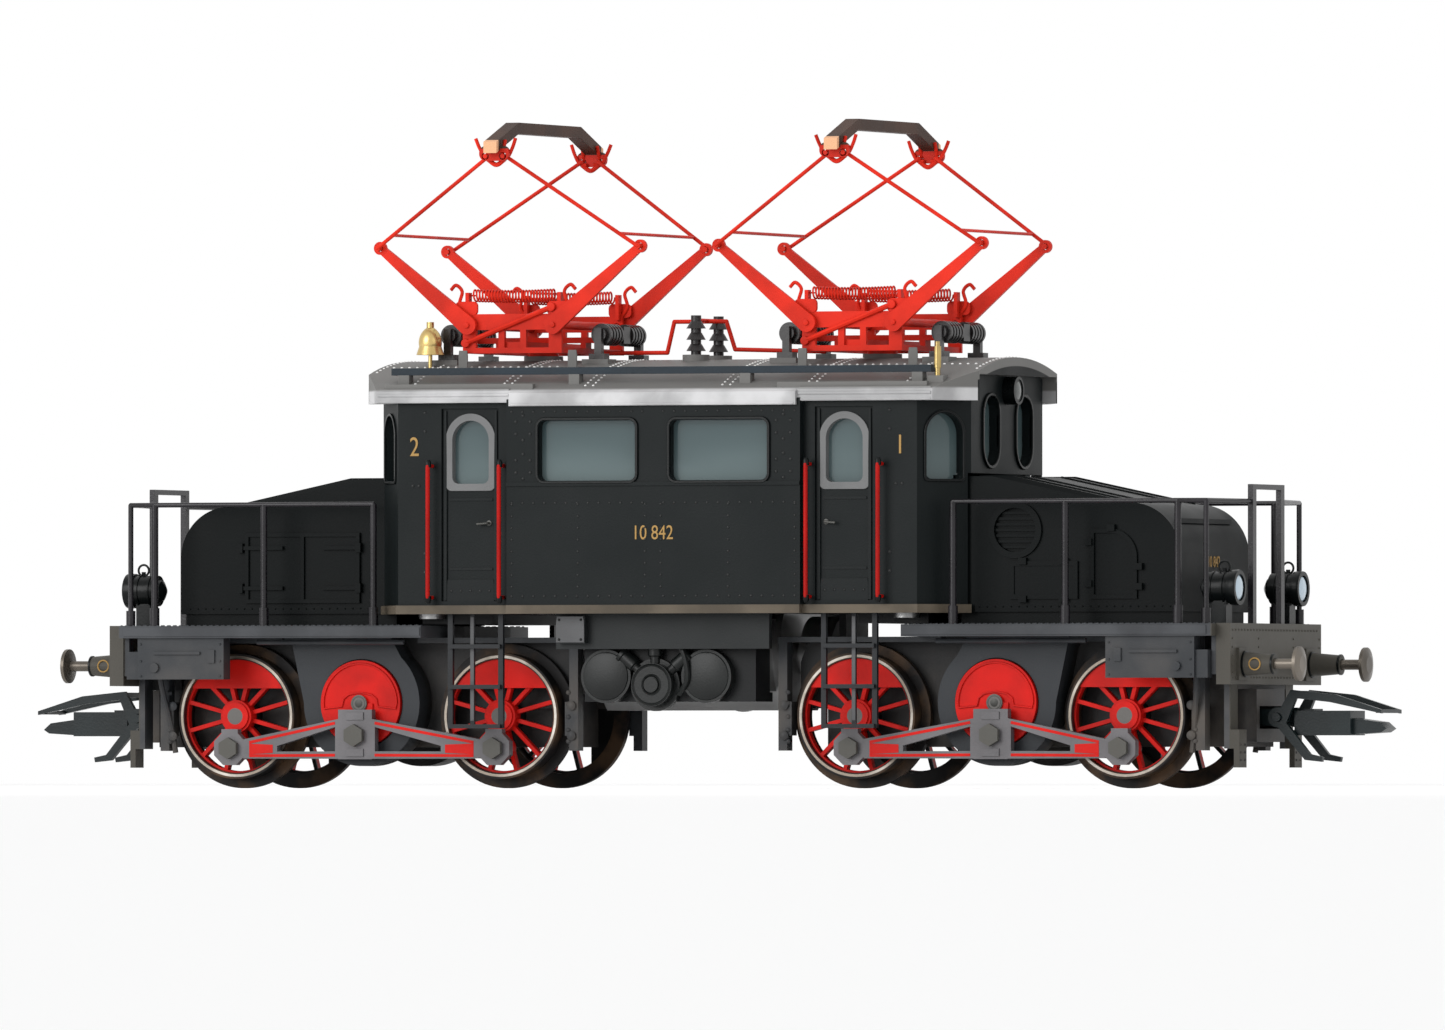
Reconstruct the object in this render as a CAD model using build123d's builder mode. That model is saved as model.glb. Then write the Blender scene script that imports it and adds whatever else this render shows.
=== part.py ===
"""Model electric locomotive, H0 scale: a centre cab on two swivelling trucks with rod drive.

+X is the front, +Z is up, and the model stands centred over the origin. Every height is
written from the rail head, and save() lifts the pieces by the flange depth, so that the
origin lies under the wheel flanges. Each truck piece is drawn once, for the front truck;
the rear truck is the same piece turned half a turn about Z.
"""
from build123d import *
import math
import os

os.makedirs("parts", exist_ok=True)

# Running gear
FLANGE = 1.0
AXLE_Z = 6.7
TREAD_R = 6.7
OUTER_AXLE_X = 51.0
INNER_AXLE_X = 20.4
JACK_X = 36.43
JACK_Z = 8.07
CRANK = 3.42
AXLE_R = 1.5
RUNNING_GAP = 0.05
WHEEL_BACK_Y = 7.15
WHEEL_FACE_Y = 9.9
RIM_R = 6.1
SPOKES = 12
PIN_R = 0.7
ROD_Y0 = 10.8
ROD_Y1 = 11.8
JACK_DISC_R = 4.6
WORM_WHEEL_R = 3.5

# Trucks
PIVOT_X = 30.0
DECK_Z0 = 15.06
DECK_Z1 = 16.35
DECK_HALF_W = 15.0
DECK_X0 = 27.5
BEAM_X0 = 62.6
BEAM_X1 = 64.2
FRAME_HALF_W = 6.4
BUFFER_Y = 10.05
BUFFER_Z = 12.1
BUFFER_FACE_X = 71.0
COUPLER_PIVOT_X = 61.5
COUPLER_Z = 6.5
LOOP_PIVOT_X = 65.5

# Hood
HOOD_X0 = 32.0
HOOD_X1 = 57.3
HOOD_HALF_W = 10.3
HOOD_TOP = 32.0
HOOD_Z0 = 17.65
SKIN = 0.8

# Cab and roof
CAB_END_X = 33.7
CAB_CORNER_X = 29.7
CAB_FRONT_Y = 10.4
CAB_SIDE_Y = 15.9
MID_X = 16.8
MID_Y = 16.9
WALL = 1.0
SILL_Z = 17.55
FLOOR_Z1 = 18.5
ROOF_TOP = 44.73
ROOF_R = 42.0
ROOF_SKIN = 0.8
DOOR_X = 21.4
BELT_Z = 31.3
SIDE_WINDOW_X = 7.54
SIDE_WINDOW_Z = 34.85

# Drive
SHAFT_Z = 13.2
MOTOR_HALF_L = 10.5

# Pantographs: the left-hand frame's pivots, measured from the pantograph's centre
PANTO_X = 19.5
BASE_PIVOT = (-4.95, 48.4)
KNEE = (-15.0, 56.7)
HEAD_PIVOT = (-1.0, 66.3)
HEAD_PIVOT_Y = 13.0
WIRE_R = 0.21
TIE_R = 0.17
TIE_AT = 0.14
KNEE_Y = 10.2
SPRING_Y = 8.0
SPRING_Z = 51.6
SPRING_R = 0.72
SPRING_HALF_L = 5.0
INSULATOR_X = 8.7
INSULATOR_Z = 47.4


def save(shape, label, turn=0):
    """Turn a finished piece about Z, lift it onto its flanges and write it."""
    placed = Pos(0, 0, FLANGE) * Rot(0, 0, turn) * shape
    placed.label = label
    export_step(placed, f"parts/{label}.step")


def block(x0, x1, y0, y1, z0, z1, mode=Mode.ADD):
    """A box between two opposite corners."""
    with Locations(((x0 + x1) / 2, (y0 + y1) / 2, (z0 + z1) / 2)):
        Box(abs(x1 - x0), abs(y1 - y0), abs(z1 - z0), mode=mode)


def bar_x(y, z, radius, x0, x1, mode=Mode.ADD):
    """A round bar along X."""
    with Locations(Location(((x0 + x1) / 2, y, z), (0, 90, 0))):
        Cylinder(radius, abs(x1 - x0), mode=mode)


def bar_y(x, z, radius, y0, y1, mode=Mode.ADD):
    """A round bar along Y."""
    with Locations(Location((x, (y0 + y1) / 2, z), (90, 0, 0))):
        Cylinder(radius, abs(y1 - y0), mode=mode)


def bar_z(x, y, radius, z0, z1, mode=Mode.ADD):
    """A round bar along Z."""
    with Locations((x, y, (z0 + z1) / 2)):
        Cylinder(radius, abs(z1 - z0), mode=mode)


def wire(start, end, radius):
    """A round wire between two points, with ball ends so that joined wires close."""
    run = Vector(*end) - Vector(*start)
    middle = Vector(*start) + run * 0.5
    with Locations(Plane(origin=middle, z_dir=run.normalized()).location):
        Cylinder(radius, run.length)
    with Locations(start, end):
        Sphere(radius)


# --- Wheels, jackshafts and rods -------------------------------------------------------

def crank_sides(down_side):
    """Side of the model and crank direction: straight down on one side, forward on the other."""
    return ((down_side, 0, -1), (-down_side, 1, 0))


def make_wheelset(axle_x, down_side):
    """Axle with two spoked wheels, their counterweights and their crank pins."""
    with BuildPart() as wheelset:
        bar_y(axle_x, AXLE_Z, AXLE_R, -10.3, 10.3)
        for side, across, up in crank_sides(down_side):
            back = Plane((axle_x, side * WHEEL_BACK_Y, AXLE_Z), x_dir=(across, 0, up), z_dir=(0, side, 0))
            with BuildSketch(back):
                Circle(TREAD_R + FLANGE)
                Circle(RIM_R, mode=Mode.SUBTRACT)
            extrude(amount=0.75)
            with BuildSketch(back):
                Circle(TREAD_R)
                Circle(RIM_R, mode=Mode.SUBTRACT)
            extrude(amount=WHEEL_FACE_Y - WHEEL_BACK_Y)
            with BuildSketch(back.offset(1.15)):
                Circle(RIM_R + 0.05)
                Circle(RIM_R - 0.25, mode=Mode.SUBTRACT)
                with PolarLocations(RIM_R / 2, SPOKES, start_angle=15):
                    Rectangle(RIM_R, 0.42)
                Circle(1.75)
            extrude(amount=1.0)
            with BuildSketch(back.offset(1.15)):
                Circle(RIM_R + 0.05)
                with Locations((-3.0 - RIM_R / 2, 0)):
                    Rectangle(RIM_R, 2 * RIM_R, mode=Mode.INTERSECT)
            extrude(amount=1.35)
            with BuildSketch(back.offset(1.15)):
                Circle(1.75)
            extrude(amount=1.75)
            with BuildSketch(back.offset(1.15)):
                with Locations((CRANK, 0)):
                    Circle(1.25)
            extrude(amount=10.7 - WHEEL_BACK_Y - 1.15)
            with BuildSketch(back.offset(1.15)):
                with Locations((CRANK, 0)):
                    Circle(PIN_R)
            extrude(amount=11.9 - WHEEL_BACK_Y - 1.15)
            with BuildSketch(back.offset(11.86 - WHEEL_BACK_Y)):
                with Locations((CRANK, 0)):
                    RegularPolygon(1.15, 6)
            extrude(amount=0.6)
    return wheelset.part


def make_jackshaft(down_side):
    """Jackshaft with its worm wheel, two balanced crank discs and two crank pins."""
    with BuildPart() as jackshaft:
        bar_y(JACK_X, JACK_Z, AXLE_R, -9.5, 9.5)
        with BuildSketch(Plane((JACK_X, -1.5, JACK_Z), x_dir=(1, 0, 0), z_dir=(0, 1, 0))):
            Circle(WORM_WHEEL_R - 0.35)
            with PolarLocations(WORM_WHEEL_R - 0.4, 20):
                Rectangle(0.7, 0.5)
        extrude(amount=3.0)
        for side, across, up in crank_sides(down_side):
            disc = Plane((JACK_X, side * 9.3, JACK_Z), x_dir=(across, 0, up), z_dir=(0, side, 0))
            with BuildSketch(disc):
                Circle(JACK_DISC_R)
            extrude(amount=1.0)
            with BuildSketch(disc):
                Circle(0.95)
                with Locations((1.7, 0)):
                    Rectangle(3.4, 3.0)
            extrude(amount=1.25)
            with BuildSketch(disc):
                Circle(0.85)
            extrude(amount=1.45)
            with BuildSketch(disc):
                with Locations((CRANK, 0)):
                    Circle(PIN_R)
            extrude(amount=2.6)
            with BuildSketch(disc.offset(11.86 - 9.3)):
                with Locations((CRANK, 0)):
                    RegularPolygon(1.2, 6)
            extrude(amount=0.6)
    return jackshaft.part


def make_side_rod(side, pins_forward):
    """Coupling rod: a flat truss on three crank pins, the middle one higher than the others."""
    end_z = AXLE_Z - CRANK
    mid_z = JACK_Z - CRANK
    half_mid = 1.95
    boom = 0.55
    with BuildPart() as rod:
        with BuildSketch(Plane.XZ.offset(ROD_Y0)):
            with Locations((JACK_X, mid_z + 0.1)):
                Rectangle(2 * half_mid, 5.3)
            for axle_x, out in ((OUTER_AXLE_X, 1), (INNER_AXLE_X, -1)):
                with Locations((axle_x, end_z)):
                    RegularPolygon(1.95, 8, rotation=22.5)
                with Locations((axle_x, end_z + 1.6)):
                    Rectangle(1.9, 0.9)
                root_x = JACK_X + out * half_mid
                tip_x = axle_x - out * 1.6
                with BuildLine():
                    Polyline((root_x, mid_z - 2.5), (tip_x, end_z - 1.1), (tip_x, end_z + 0.95),
                             (root_x, mid_z + 1.75), close=True)
                make_face()
                near_x = root_x + out * 0.35
                far_x = JACK_X + out * (abs(axle_x - JACK_X) * 0.62)
                with BuildLine():
                    Polyline((near_x, mid_z - 2.5 + boom + 0.25), (far_x, end_z - 0.35),
                             (far_x, end_z + 0.25), (near_x, mid_z + 1.75 - boom - 0.3), close=True)
                make_face(mode=Mode.SUBTRACT)
        extrude(amount=ROD_Y1 - ROD_Y0)
        for pad_z in (mid_z - 1.85, mid_z + 2.05):
            block(JACK_X - 1.0, JACK_X + 1.0, -ROD_Y1 - 0.15, -ROD_Y1, pad_z - 0.4, pad_z + 0.4)
        for pin_x, pin_z in ((OUTER_AXLE_X, end_z), (JACK_X, mid_z), (INNER_AXLE_X, end_z)):
            bar_y(pin_x, pin_z, PIN_R + RUNNING_GAP, -13, -9, mode=Mode.SUBTRACT)
    shifted = Pos(CRANK, 0, CRANK) * rod.part if pins_forward else rod.part
    return mirror(shifted, about=Plane.XZ) if side > 0 else shifted


# --- Trucks ----------------------------------------------------------------------------

def make_truck_frame():
    """Cast truck frame: spine, axle bores, end cheeks, pivot plate, jackshaft housings, coupler pocket."""
    with BuildPart() as frame:
        block(17.8, 61.5, -FRAME_HALF_W, FRAME_HALF_W, 3.4, 12.2)
        block(41.5, 61.5, -FRAME_HALF_W, FRAME_HALF_W, 12.2, DECK_Z0)
        block(15.8, 17.8, -FRAME_HALF_W, FRAME_HALF_W, 3.4, 11.6)
        block(17.8, 20.2, -FRAME_HALF_W, FRAME_HALF_W, 12.2, DECK_Z0)
        for side in (-1, 1):
            block(20.2, 41.5, side * 5.0, side * FRAME_HALF_W, 12.2, DECK_Z0)
            with BuildSketch(Plane.XZ.offset(-side * 6.2)):
                with BuildLine():
                    Polyline((12.9, 7.5), (12.9, 12.4), (13.6, 14.3), (15.4, DECK_Z0), (20.2, DECK_Z0),
                             (20.2, 7.5), close=True)
                make_face()
            extrude(amount=-side * 0.7)
        block(17.0, 41.4, -3.0, 3.0, 9.6, 17, mode=Mode.SUBTRACT)
        block(32.2, 40.7, -3.0, 3.0, 4.1, 9.7, mode=Mode.SUBTRACT)
        block(26.0, 34.0, -FRAME_HALF_W, FRAME_HALF_W, 14.9, 16.3)
        block(58.6, BEAM_X0, -7.1, 7.1, 9.5, DECK_Z0)
        block(59.0, 63.6, -4.2, 4.2, 3.9, 9.5)
        block(59.8, 64.4, -3.3, 3.3, 5.3, 7.7, mode=Mode.SUBTRACT)
        bar_z(COUPLER_PIVOT_X, 0, 0.7, 4.0, 9.0)
        for side in (-1, 1):
            housing = Plane((0, side * FRAME_HALF_W, 0), x_dir=(1, 0, 0), z_dir=(0, side, 0))
            with BuildSketch(housing):
                with Locations((JACK_X, -side * JACK_Z)):
                    Circle(TREAD_R)
                with BuildLine():
                    Polyline((JACK_X - 4.6, -side * 12.9), (JACK_X - 3.4, -side * DECK_Z0),
                             (JACK_X + 8.2, -side * DECK_Z0), (JACK_X + 6.5, -side * 7.2),
                             (JACK_X, -side * 5.0), close=True)
                make_face()
            extrude(amount=9.95 - FRAME_HALF_W)
            bar_y(JACK_X, JACK_Z, JACK_DISC_R + 0.15, side * 9.2, side * 10.5, mode=Mode.SUBTRACT)
        for hole_x, hole_z in ((OUTER_AXLE_X, AXLE_Z), (JACK_X, JACK_Z), (INNER_AXLE_X, AXLE_Z)):
            bar_y(hole_x, hole_z, AXLE_R + RUNNING_GAP, -12, 12, mode=Mode.SUBTRACT)
        bar_z(PIVOT_X, 0, 2.05, 14, 17, mode=Mode.SUBTRACT)
        block(44.6, 45.6, -9.6, 9.6, 14.5, DECK_Z0)
    return frame.part


def make_deck():
    """Running board with its buffer beam, two buffer housings and two rail guards."""
    with BuildPart() as deck:
        block(DECK_X0, BEAM_X0, -DECK_HALF_W, DECK_HALF_W, DECK_Z0, DECK_Z1)
        block(DECK_X0 - 1, 34.1, -FRAME_HALF_W - 0.1, FRAME_HALF_W + 0.1, DECK_Z0 - 1, 17, mode=Mode.SUBTRACT)
        block(BEAM_X0, BEAM_X1, -13.6, 13.6, 9.95, 16.4)
        for side in (-1, 1):
            block(BEAM_X0 - 0.6, BEAM_X0, side * 12.2, side * 13.4, 11.0, DECK_Z0)
            root = Plane((BEAM_X1, side * BUFFER_Y, BUFFER_Z), x_dir=(0, 1, 0), z_dir=(1, 0, 0))
            with BuildSketch(root):
                Circle(1.3)
            with BuildSketch(root.offset(3.7)):
                Circle(1.0)
            loft()
            block(BEAM_X1, BEAM_X1 + 0.3, side * BUFFER_Y - 1.7, side * BUFFER_Y + 1.7, 10.4, 13.8)
            bar_x(side * BUFFER_Y, BUFFER_Z, 0.6, BEAM_X0 + 0.4, BEAM_X1 + 4, mode=Mode.SUBTRACT)
            block(61.9, 62.6, side * 7.2, side * 9.4, 5.0, 12.0)
            block(61.9, 63.6, side * 7.2, side * 9.4, 3.2, 5.2)
            block(63.0, 63.6, side * 7.2, side * 9.4, 1.2, 4.0)
    return deck.part


def make_buffer(side):
    """Sprung buffer: a head with a chamfered face on its shank."""
    with BuildPart() as buffer:
        with BuildSketch(Plane.XZ.offset(-side * BUFFER_Y)):
            with BuildLine():
                Polyline((BEAM_X0 + 1.6, BUFFER_Z), (BEAM_X0 + 1.6, BUFFER_Z + 0.55), (70.2, BUFFER_Z + 0.55),
                         (70.4, BUFFER_Z + 1.83), (70.75, BUFFER_Z + 1.83), (BUFFER_FACE_X, BUFFER_Z + 0.9),
                         (BUFFER_FACE_X, BUFFER_Z), close=True)
            make_face()
        revolve(axis=Axis((0, side * BUFFER_Y, BUFFER_Z), (1, 0, 0)))
    return buffer.part


def hood_profile(inset):
    """Side outline of the hood in X and Z, drawn inset by a skin thickness."""
    nose_r = 5.2 - inset
    front = HOOD_X1 - inset
    slope_end = (51.9 - inset * 0.3, 29.13 - inset)
    with BuildLine() as outline:
        Polyline((HOOD_X0, HOOD_Z0), (HOOD_X0, HOOD_TOP - inset), (38.17, HOOD_TOP - inset), slope_end)
        ThreePointArc(slope_end, (front - nose_r * 0.33, 27.6 - inset * 0.7), (front, 23.9))
        Polyline((front, 23.9), (front, HOOD_Z0), (HOOD_X0, HOOD_Z0))
    return outline.line


def make_hood():
    """Sloping hood over a truck: a hollow moulding with its hatches, louvre ring and hinges."""
    with BuildPart() as hood:
        with BuildSketch(Plane.XZ):
            add(hood_profile(0))
            make_face()
        extrude(amount=HOOD_HALF_W, both=True)
        top_edges = hood.edges().filter_by(GeomType.LINE).filter_by(Plane.XZ)
        chamfer(top_edges.filter_by_position(Axis.Z, 28.0, 33.0).filter_by_position(Axis.X, 38.2, 60), 0.45)
        with BuildSketch(Plane.XZ):
            add(hood_profile(SKIN))
            make_face()
        extrude(amount=HOOD_HALF_W - SKIN, both=True, mode=Mode.SUBTRACT)
        block(HOOD_X0 + 0.4, HOOD_X1 - 0.5, -9.9, 9.9, DECK_Z1, HOOD_Z0)
        block(HOOD_X0 - 1, HOOD_X1 - 1.3, -9.1, 9.1, DECK_Z1, HOOD_Z0 + 0.8, mode=Mode.SUBTRACT)
        # Louvre side: round grille, rectangular hatch and quarter-round hatch
        for radius, mode in ((3.0, Mode.ADD), (2.35, Mode.SUBTRACT)):
            bar_y(38.7, 26.3, radius, -HOOD_HALF_W - 0.28, -HOOD_HALF_W + 0.25 * (mode == Mode.SUBTRACT),
                  mode=mode)
        for louvre in range(7):
            louvre_z = 26.3 + (louvre - 3) * 0.6
            reach = math.sqrt(2.35 ** 2 - (louvre_z - 26.3) ** 2)
            block(38.7 - reach, 38.7 + reach, -HOOD_HALF_W, -HOOD_HALF_W + 0.3,
                  louvre_z - 0.14, louvre_z + 0.14)
        block(38.1, 45.8, -HOOD_HALF_W - 0.25, -HOOD_HALF_W, 19.0, 23.0)
        block(38.6, 45.3, -HOOD_HALF_W - 0.4, -HOOD_HALF_W - 0.12, 19.5, 22.5, mode=Mode.SUBTRACT)
        with BuildSketch(Plane.XZ.offset(HOOD_HALF_W)):
            for inset, mode in ((0, Mode.ADD), (0.45, Mode.SUBTRACT)):
                with BuildLine():
                    Polyline((52.5 - inset, 23.4), (52.5 - inset, 19.0 + inset), (47.2 + inset, 19.0 + inset),
                             (47.2 + inset, 26.4 - inset), (49.5, 26.4 - inset))
                    RadiusArc((49.5, 26.4 - inset), (52.5 - inset, 23.4), 3.0 - inset)
                make_face(mode=mode)
        extrude(amount=0.25)
        for hinge_x, hinge_z in ((39.6, 23.0), (44.2, 23.0), (39.6, 19.0), (44.2, 19.0),
                                 (47.0, 25.0), (47.0, 20.6), (52.7, 22.4), (52.7, 20.3), (49.6, 26.5)):
            block(hinge_x - 0.45, hinge_x + 0.45, -HOOD_HALF_W - 0.5, -HOOD_HALF_W,
                  hinge_z - 0.35, hinge_z + 0.35)
        # Door side: two doors on four strap hinges
        block(36.4, 49.7, HOOD_HALF_W, HOOD_HALF_W + 0.35, 18.8, 26.3)
        for door_x in (36.8, 43.25):
            block(door_x, door_x + 6.05, HOOD_HALF_W + 0.08, HOOD_HALF_W + 0.5, 19.2, 25.9,
                  mode=Mode.SUBTRACT)
        for strap_z in (20.4, 24.7):
            for strap_x0, strap_x1, knuckle_x in ((36.3, 40.7, 36.5), (45.3, 50.6, 50.2)):
                block(strap_x0, strap_x1, HOOD_HALF_W, HOOD_HALF_W + 0.45, strap_z - 0.2, strap_z + 0.2)
                block(knuckle_x - 0.3, knuckle_x + 0.3, HOOD_HALF_W, HOOD_HALF_W + 0.6,
                      strap_z - 0.5, strap_z + 0.5)
        block(55.2, 56.3, -7.6, 7.6, 27.0, 27.5)
    return hood.part


def make_railings():
    """Handrails round the running board, with their sockets and the tall gate posts."""
    rail_z = 29.3
    side_y = 14.4
    corner = (61.6, 13.9)
    gate = (63.1, 4.2)
    with BuildPart() as railings:
        for side in (-1, 1):
            for post_x in (33.2, 45.9, 58.6):
                bar_z(post_x, side * side_y, 0.36, DECK_Z1, rail_z)
                bar_z(post_x, side * side_y, 0.52, DECK_Z1, 18.3)
            wire((33.2, side * side_y, rail_z), (58.6, side * side_y, rail_z), 0.26)
            wire((58.6, side * side_y, rail_z), (corner[0], side * corner[1], rail_z), 0.26)
            bar_z(corner[0], side * corner[1], 0.28, DECK_Z1, rail_z)
            bar_z(corner[0], side * corner[1], 0.5, DECK_Z1, 18.0)
            wire((corner[0], side * corner[1], rail_z), (gate[0], side * gate[1], rail_z), 0.26)
            block(gate[0] - 0.3, gate[0] + 0.3, side * gate[1] - 0.5, side * gate[1] + 0.5,
                  DECK_Z1 + 0.05, 31.0)
        block(gate[0] - 0.3, gate[0] + 0.3, -gate[1] - 0.5, gate[1] + 0.5, 30.55, 31.1)
    return railings.part


def make_deck_headlamps():
    """Two lamps on pedestals, each a drum with a lens in its mouth and a carrying ring."""
    lamp_y = 9.5
    lamp_z = 20.15
    with BuildPart() as lamps:
        for side in (-1, 1):
            bar_x(side * lamp_y, lamp_z, 1.65, 60.2, 63.6)
            bar_x(side * lamp_y, lamp_z, 1.8, 63.1, 63.6)
            bar_x(side * lamp_y, lamp_z, 1.4, 63.3, 63.7, mode=Mode.SUBTRACT)
            bar_x(side * lamp_y, lamp_z, 1.38, 63.3, 63.5)
            block(60.9, 62.5, side * lamp_y - 0.9, side * lamp_y + 0.9, DECK_Z1, 18.8)
            with Locations(Location((62.0, side * lamp_y, lamp_z + 2.2), (90, 0, 0))):
                Torus(0.6, 0.12)
    return lamps.part


def make_brakes_and_boxes():
    """Brake hangers with their shoes outside each wheel, and the equipment boxes below the deck."""
    with BuildPart() as gear:
        for side in (-1, 1):
            y0, y1 = side * 8.3, side * 9.8
            for hanger_x, top_x0, top_x1 in ((12.0, 11.4, 30.0), (59.4, 45.7, 59.9)):
                reach = 1 if hanger_x < INNER_AXLE_X else -1
                block(hanger_x - 0.5, hanger_x + 0.5, y0, y1, 3.0, DECK_Z0)
                block(hanger_x, hanger_x + reach * 1.0, y0, y1, 4.6, 8.2)
                block(top_x0, top_x1, y0, y1, 14.5, DECK_Z0)
            block(50.5, 60.5, side * 12.8, side * 14.6, 10.65, DECK_Z0)
            block(60.5, 61.9, side * 12.8, side * 14.3, 10.65, 13.6)
            block(53.2, 58.6, side * 14.6, side * 14.85, 13.3, 13.6)
            block(51.5, 52.3, side * 14.6, side * 14.8, 12.4, 13.8)
            bar_y(58.5, 11.9, 0.5, side * 14.6, side * 14.9)
    return gear.part


def make_coupler():
    """Coupler shank on its vertical pivot, with the head that the other loop drops onto."""
    with BuildPart() as coupler:
        block(60.4, 69.0, -1.3, 1.3, 5.6, 7.4)
        block(LOOP_PIVOT_X + 1.6, 73.4, -2.2, 2.2, 4.6, 7.2)
        bar_y(LOOP_PIVOT_X, COUPLER_Z, 0.45, -3.45, 3.45)
        with BuildSketch(Plane.XZ):
            with BuildLine():
                Polyline((73.4, 4.7), (76.6, 4.9), (77.2, 5.3), (76.4, 6.0), (73.4, 6.4), close=True)
            make_face()
        extrude(amount=1.5, both=True)
        bar_z(COUPLER_PIVOT_X, 0, 0.75, 5, 8, mode=Mode.SUBTRACT)
    return coupler.part


def make_coupler_loop():
    """Coupler loop: two cheeks on the cross pin, a long hoop over the head and a release lever."""
    with BuildPart() as loop:
        for side in (-1, 1):
            with BuildSketch(Plane((0, side * 2.5, 0), x_dir=(1, 0, 0), z_dir=(0, side, 0))):
                with BuildLine():
                    Polyline((64.8, -side * 5.7), (67.0, -side * 9.4), (72.0, -side * 8.9),
                             (77.2, -side * 7.3), (77.2, -side * 6.9), (71.4, -side * 8.1),
                             (67.6, -side * 8.5), (66.5, -side * 5.9), (69.2, -side * 2.6),
                             (70.6, -side * 2.3), (70.5, -side * 1.8), (68.6, -side * 2.0),
                             (65.6, -side * 5.4), close=True)
                make_face()
            extrude(amount=0.6)
            bar_y(LOOP_PIVOT_X, COUPLER_Z, 1.05, side * 2.5, side * 3.1)
        block(76.4, 77.2, -2.6, 2.6, 6.95, 7.35)
        block(67.0, 68.2, -2.6, 2.6, 8.75, 9.3)
        bar_y(LOOP_PIVOT_X, COUPLER_Z, 0.5, -4, 4, mode=Mode.SUBTRACT)
    return loop.part


# --- Body ------------------------------------------------------------------------------

def plan_outline(grow):
    """Cab plan with its cut-off corners, grown outwards by a distance."""
    end_x = CAB_END_X + grow
    side_y = CAB_SIDE_Y + grow
    corner_x = CAB_CORNER_X + grow * 0.5
    front_y = CAB_FRONT_Y + grow * 0.6
    corners = [(end_x, front_y), (corner_x, side_y), (-corner_x, side_y), (-end_x, front_y),
               (-end_x, -front_y), (-corner_x, -side_y), (corner_x, -side_y), (end_x, -front_y)]
    with BuildLine() as outline:
        Polyline(*corners, close=True)
    return outline.line


def arch_below(radius, half_w, z0):
    """Solid under an arched roof line, open to any length of the cab."""
    centre_z = ROOF_TOP - ROOF_R
    edge_z = centre_z + math.sqrt(radius ** 2 - half_w ** 2)
    with BuildPart(mode=Mode.PRIVATE) as arch:
        with BuildSketch(Plane.YZ):
            with BuildLine():
                ThreePointArc((-half_w, edge_z), (0, centre_z + radius), (half_w, edge_z))
                Polyline((half_w, edge_z), (half_w, z0), (-half_w, z0), (-half_w, edge_z))
            make_face()
        extrude(amount=40, both=True)
    return arch.part


def cab_envelope():
    """The cab's outside as one filled solid, up to the underside of the roof."""
    with BuildPart() as envelope:
        with BuildSketch(Plane.XY.offset(SILL_Z)):
            add(plan_outline(0))
            make_face()
            Rectangle(2 * MID_X, 2 * MID_Y)
        extrude(amount=28)
        add(arch_below(ROOF_R - ROOF_SKIN, 20, 10), mode=Mode.INTERSECT)
    return envelope.part


def arched_opening(plane, width, height, depth, mode):
    """A window-shaped prism with a round head and rounded feet, standing on the plane's origin."""
    with BuildPart(mode=Mode.PRIVATE) as prism:
        with BuildSketch(plane) as outline:
            with Locations((0, (height - width / 2) / 2)):
                Rectangle(width, height - width / 2)
            with Locations((0, height - width / 2)):
                Circle(width / 2)
            fillet(outline.vertices().group_by(Axis.Y)[0], 0.7)
        extrude(amount=depth / 2, both=True)
    add(prism.part, mode=mode)


def facet_plane(end, side, z, inward):
    """Plane on a cut-off corner, its Y axis up and its normal outwards."""
    dx = CAB_END_X - CAB_CORNER_X
    dy = CAB_SIDE_Y - CAB_FRONT_Y
    span = math.hypot(dx, dy)
    normal = Vector(end * dy / span, side * dx / span, 0)
    middle = Vector(end * (CAB_END_X - dx / 2), side * (CAB_FRONT_Y + dy / 2), z)
    return Plane(origin=middle - normal * inward, x_dir=Vector(0, 0, 1).cross(normal), z_dir=normal)


def side_plane(x, side, y, z):
    """Upright plane on a side wall, its Y axis up."""
    return Plane(origin=(x, side * y, z), x_dir=(-side, 0, 0), z_dir=(0, side, 0))


def end_plane(end, y, x, z):
    """Upright plane on an end wall, its Y axis up."""
    return Plane(origin=(end * x, y, z), x_dir=(0, end, 0), z_dir=(end, 0, 0))


ENDS_AND_SIDES = [(end, side) for end in (-1, 1) for side in (-1, 1)]


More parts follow.
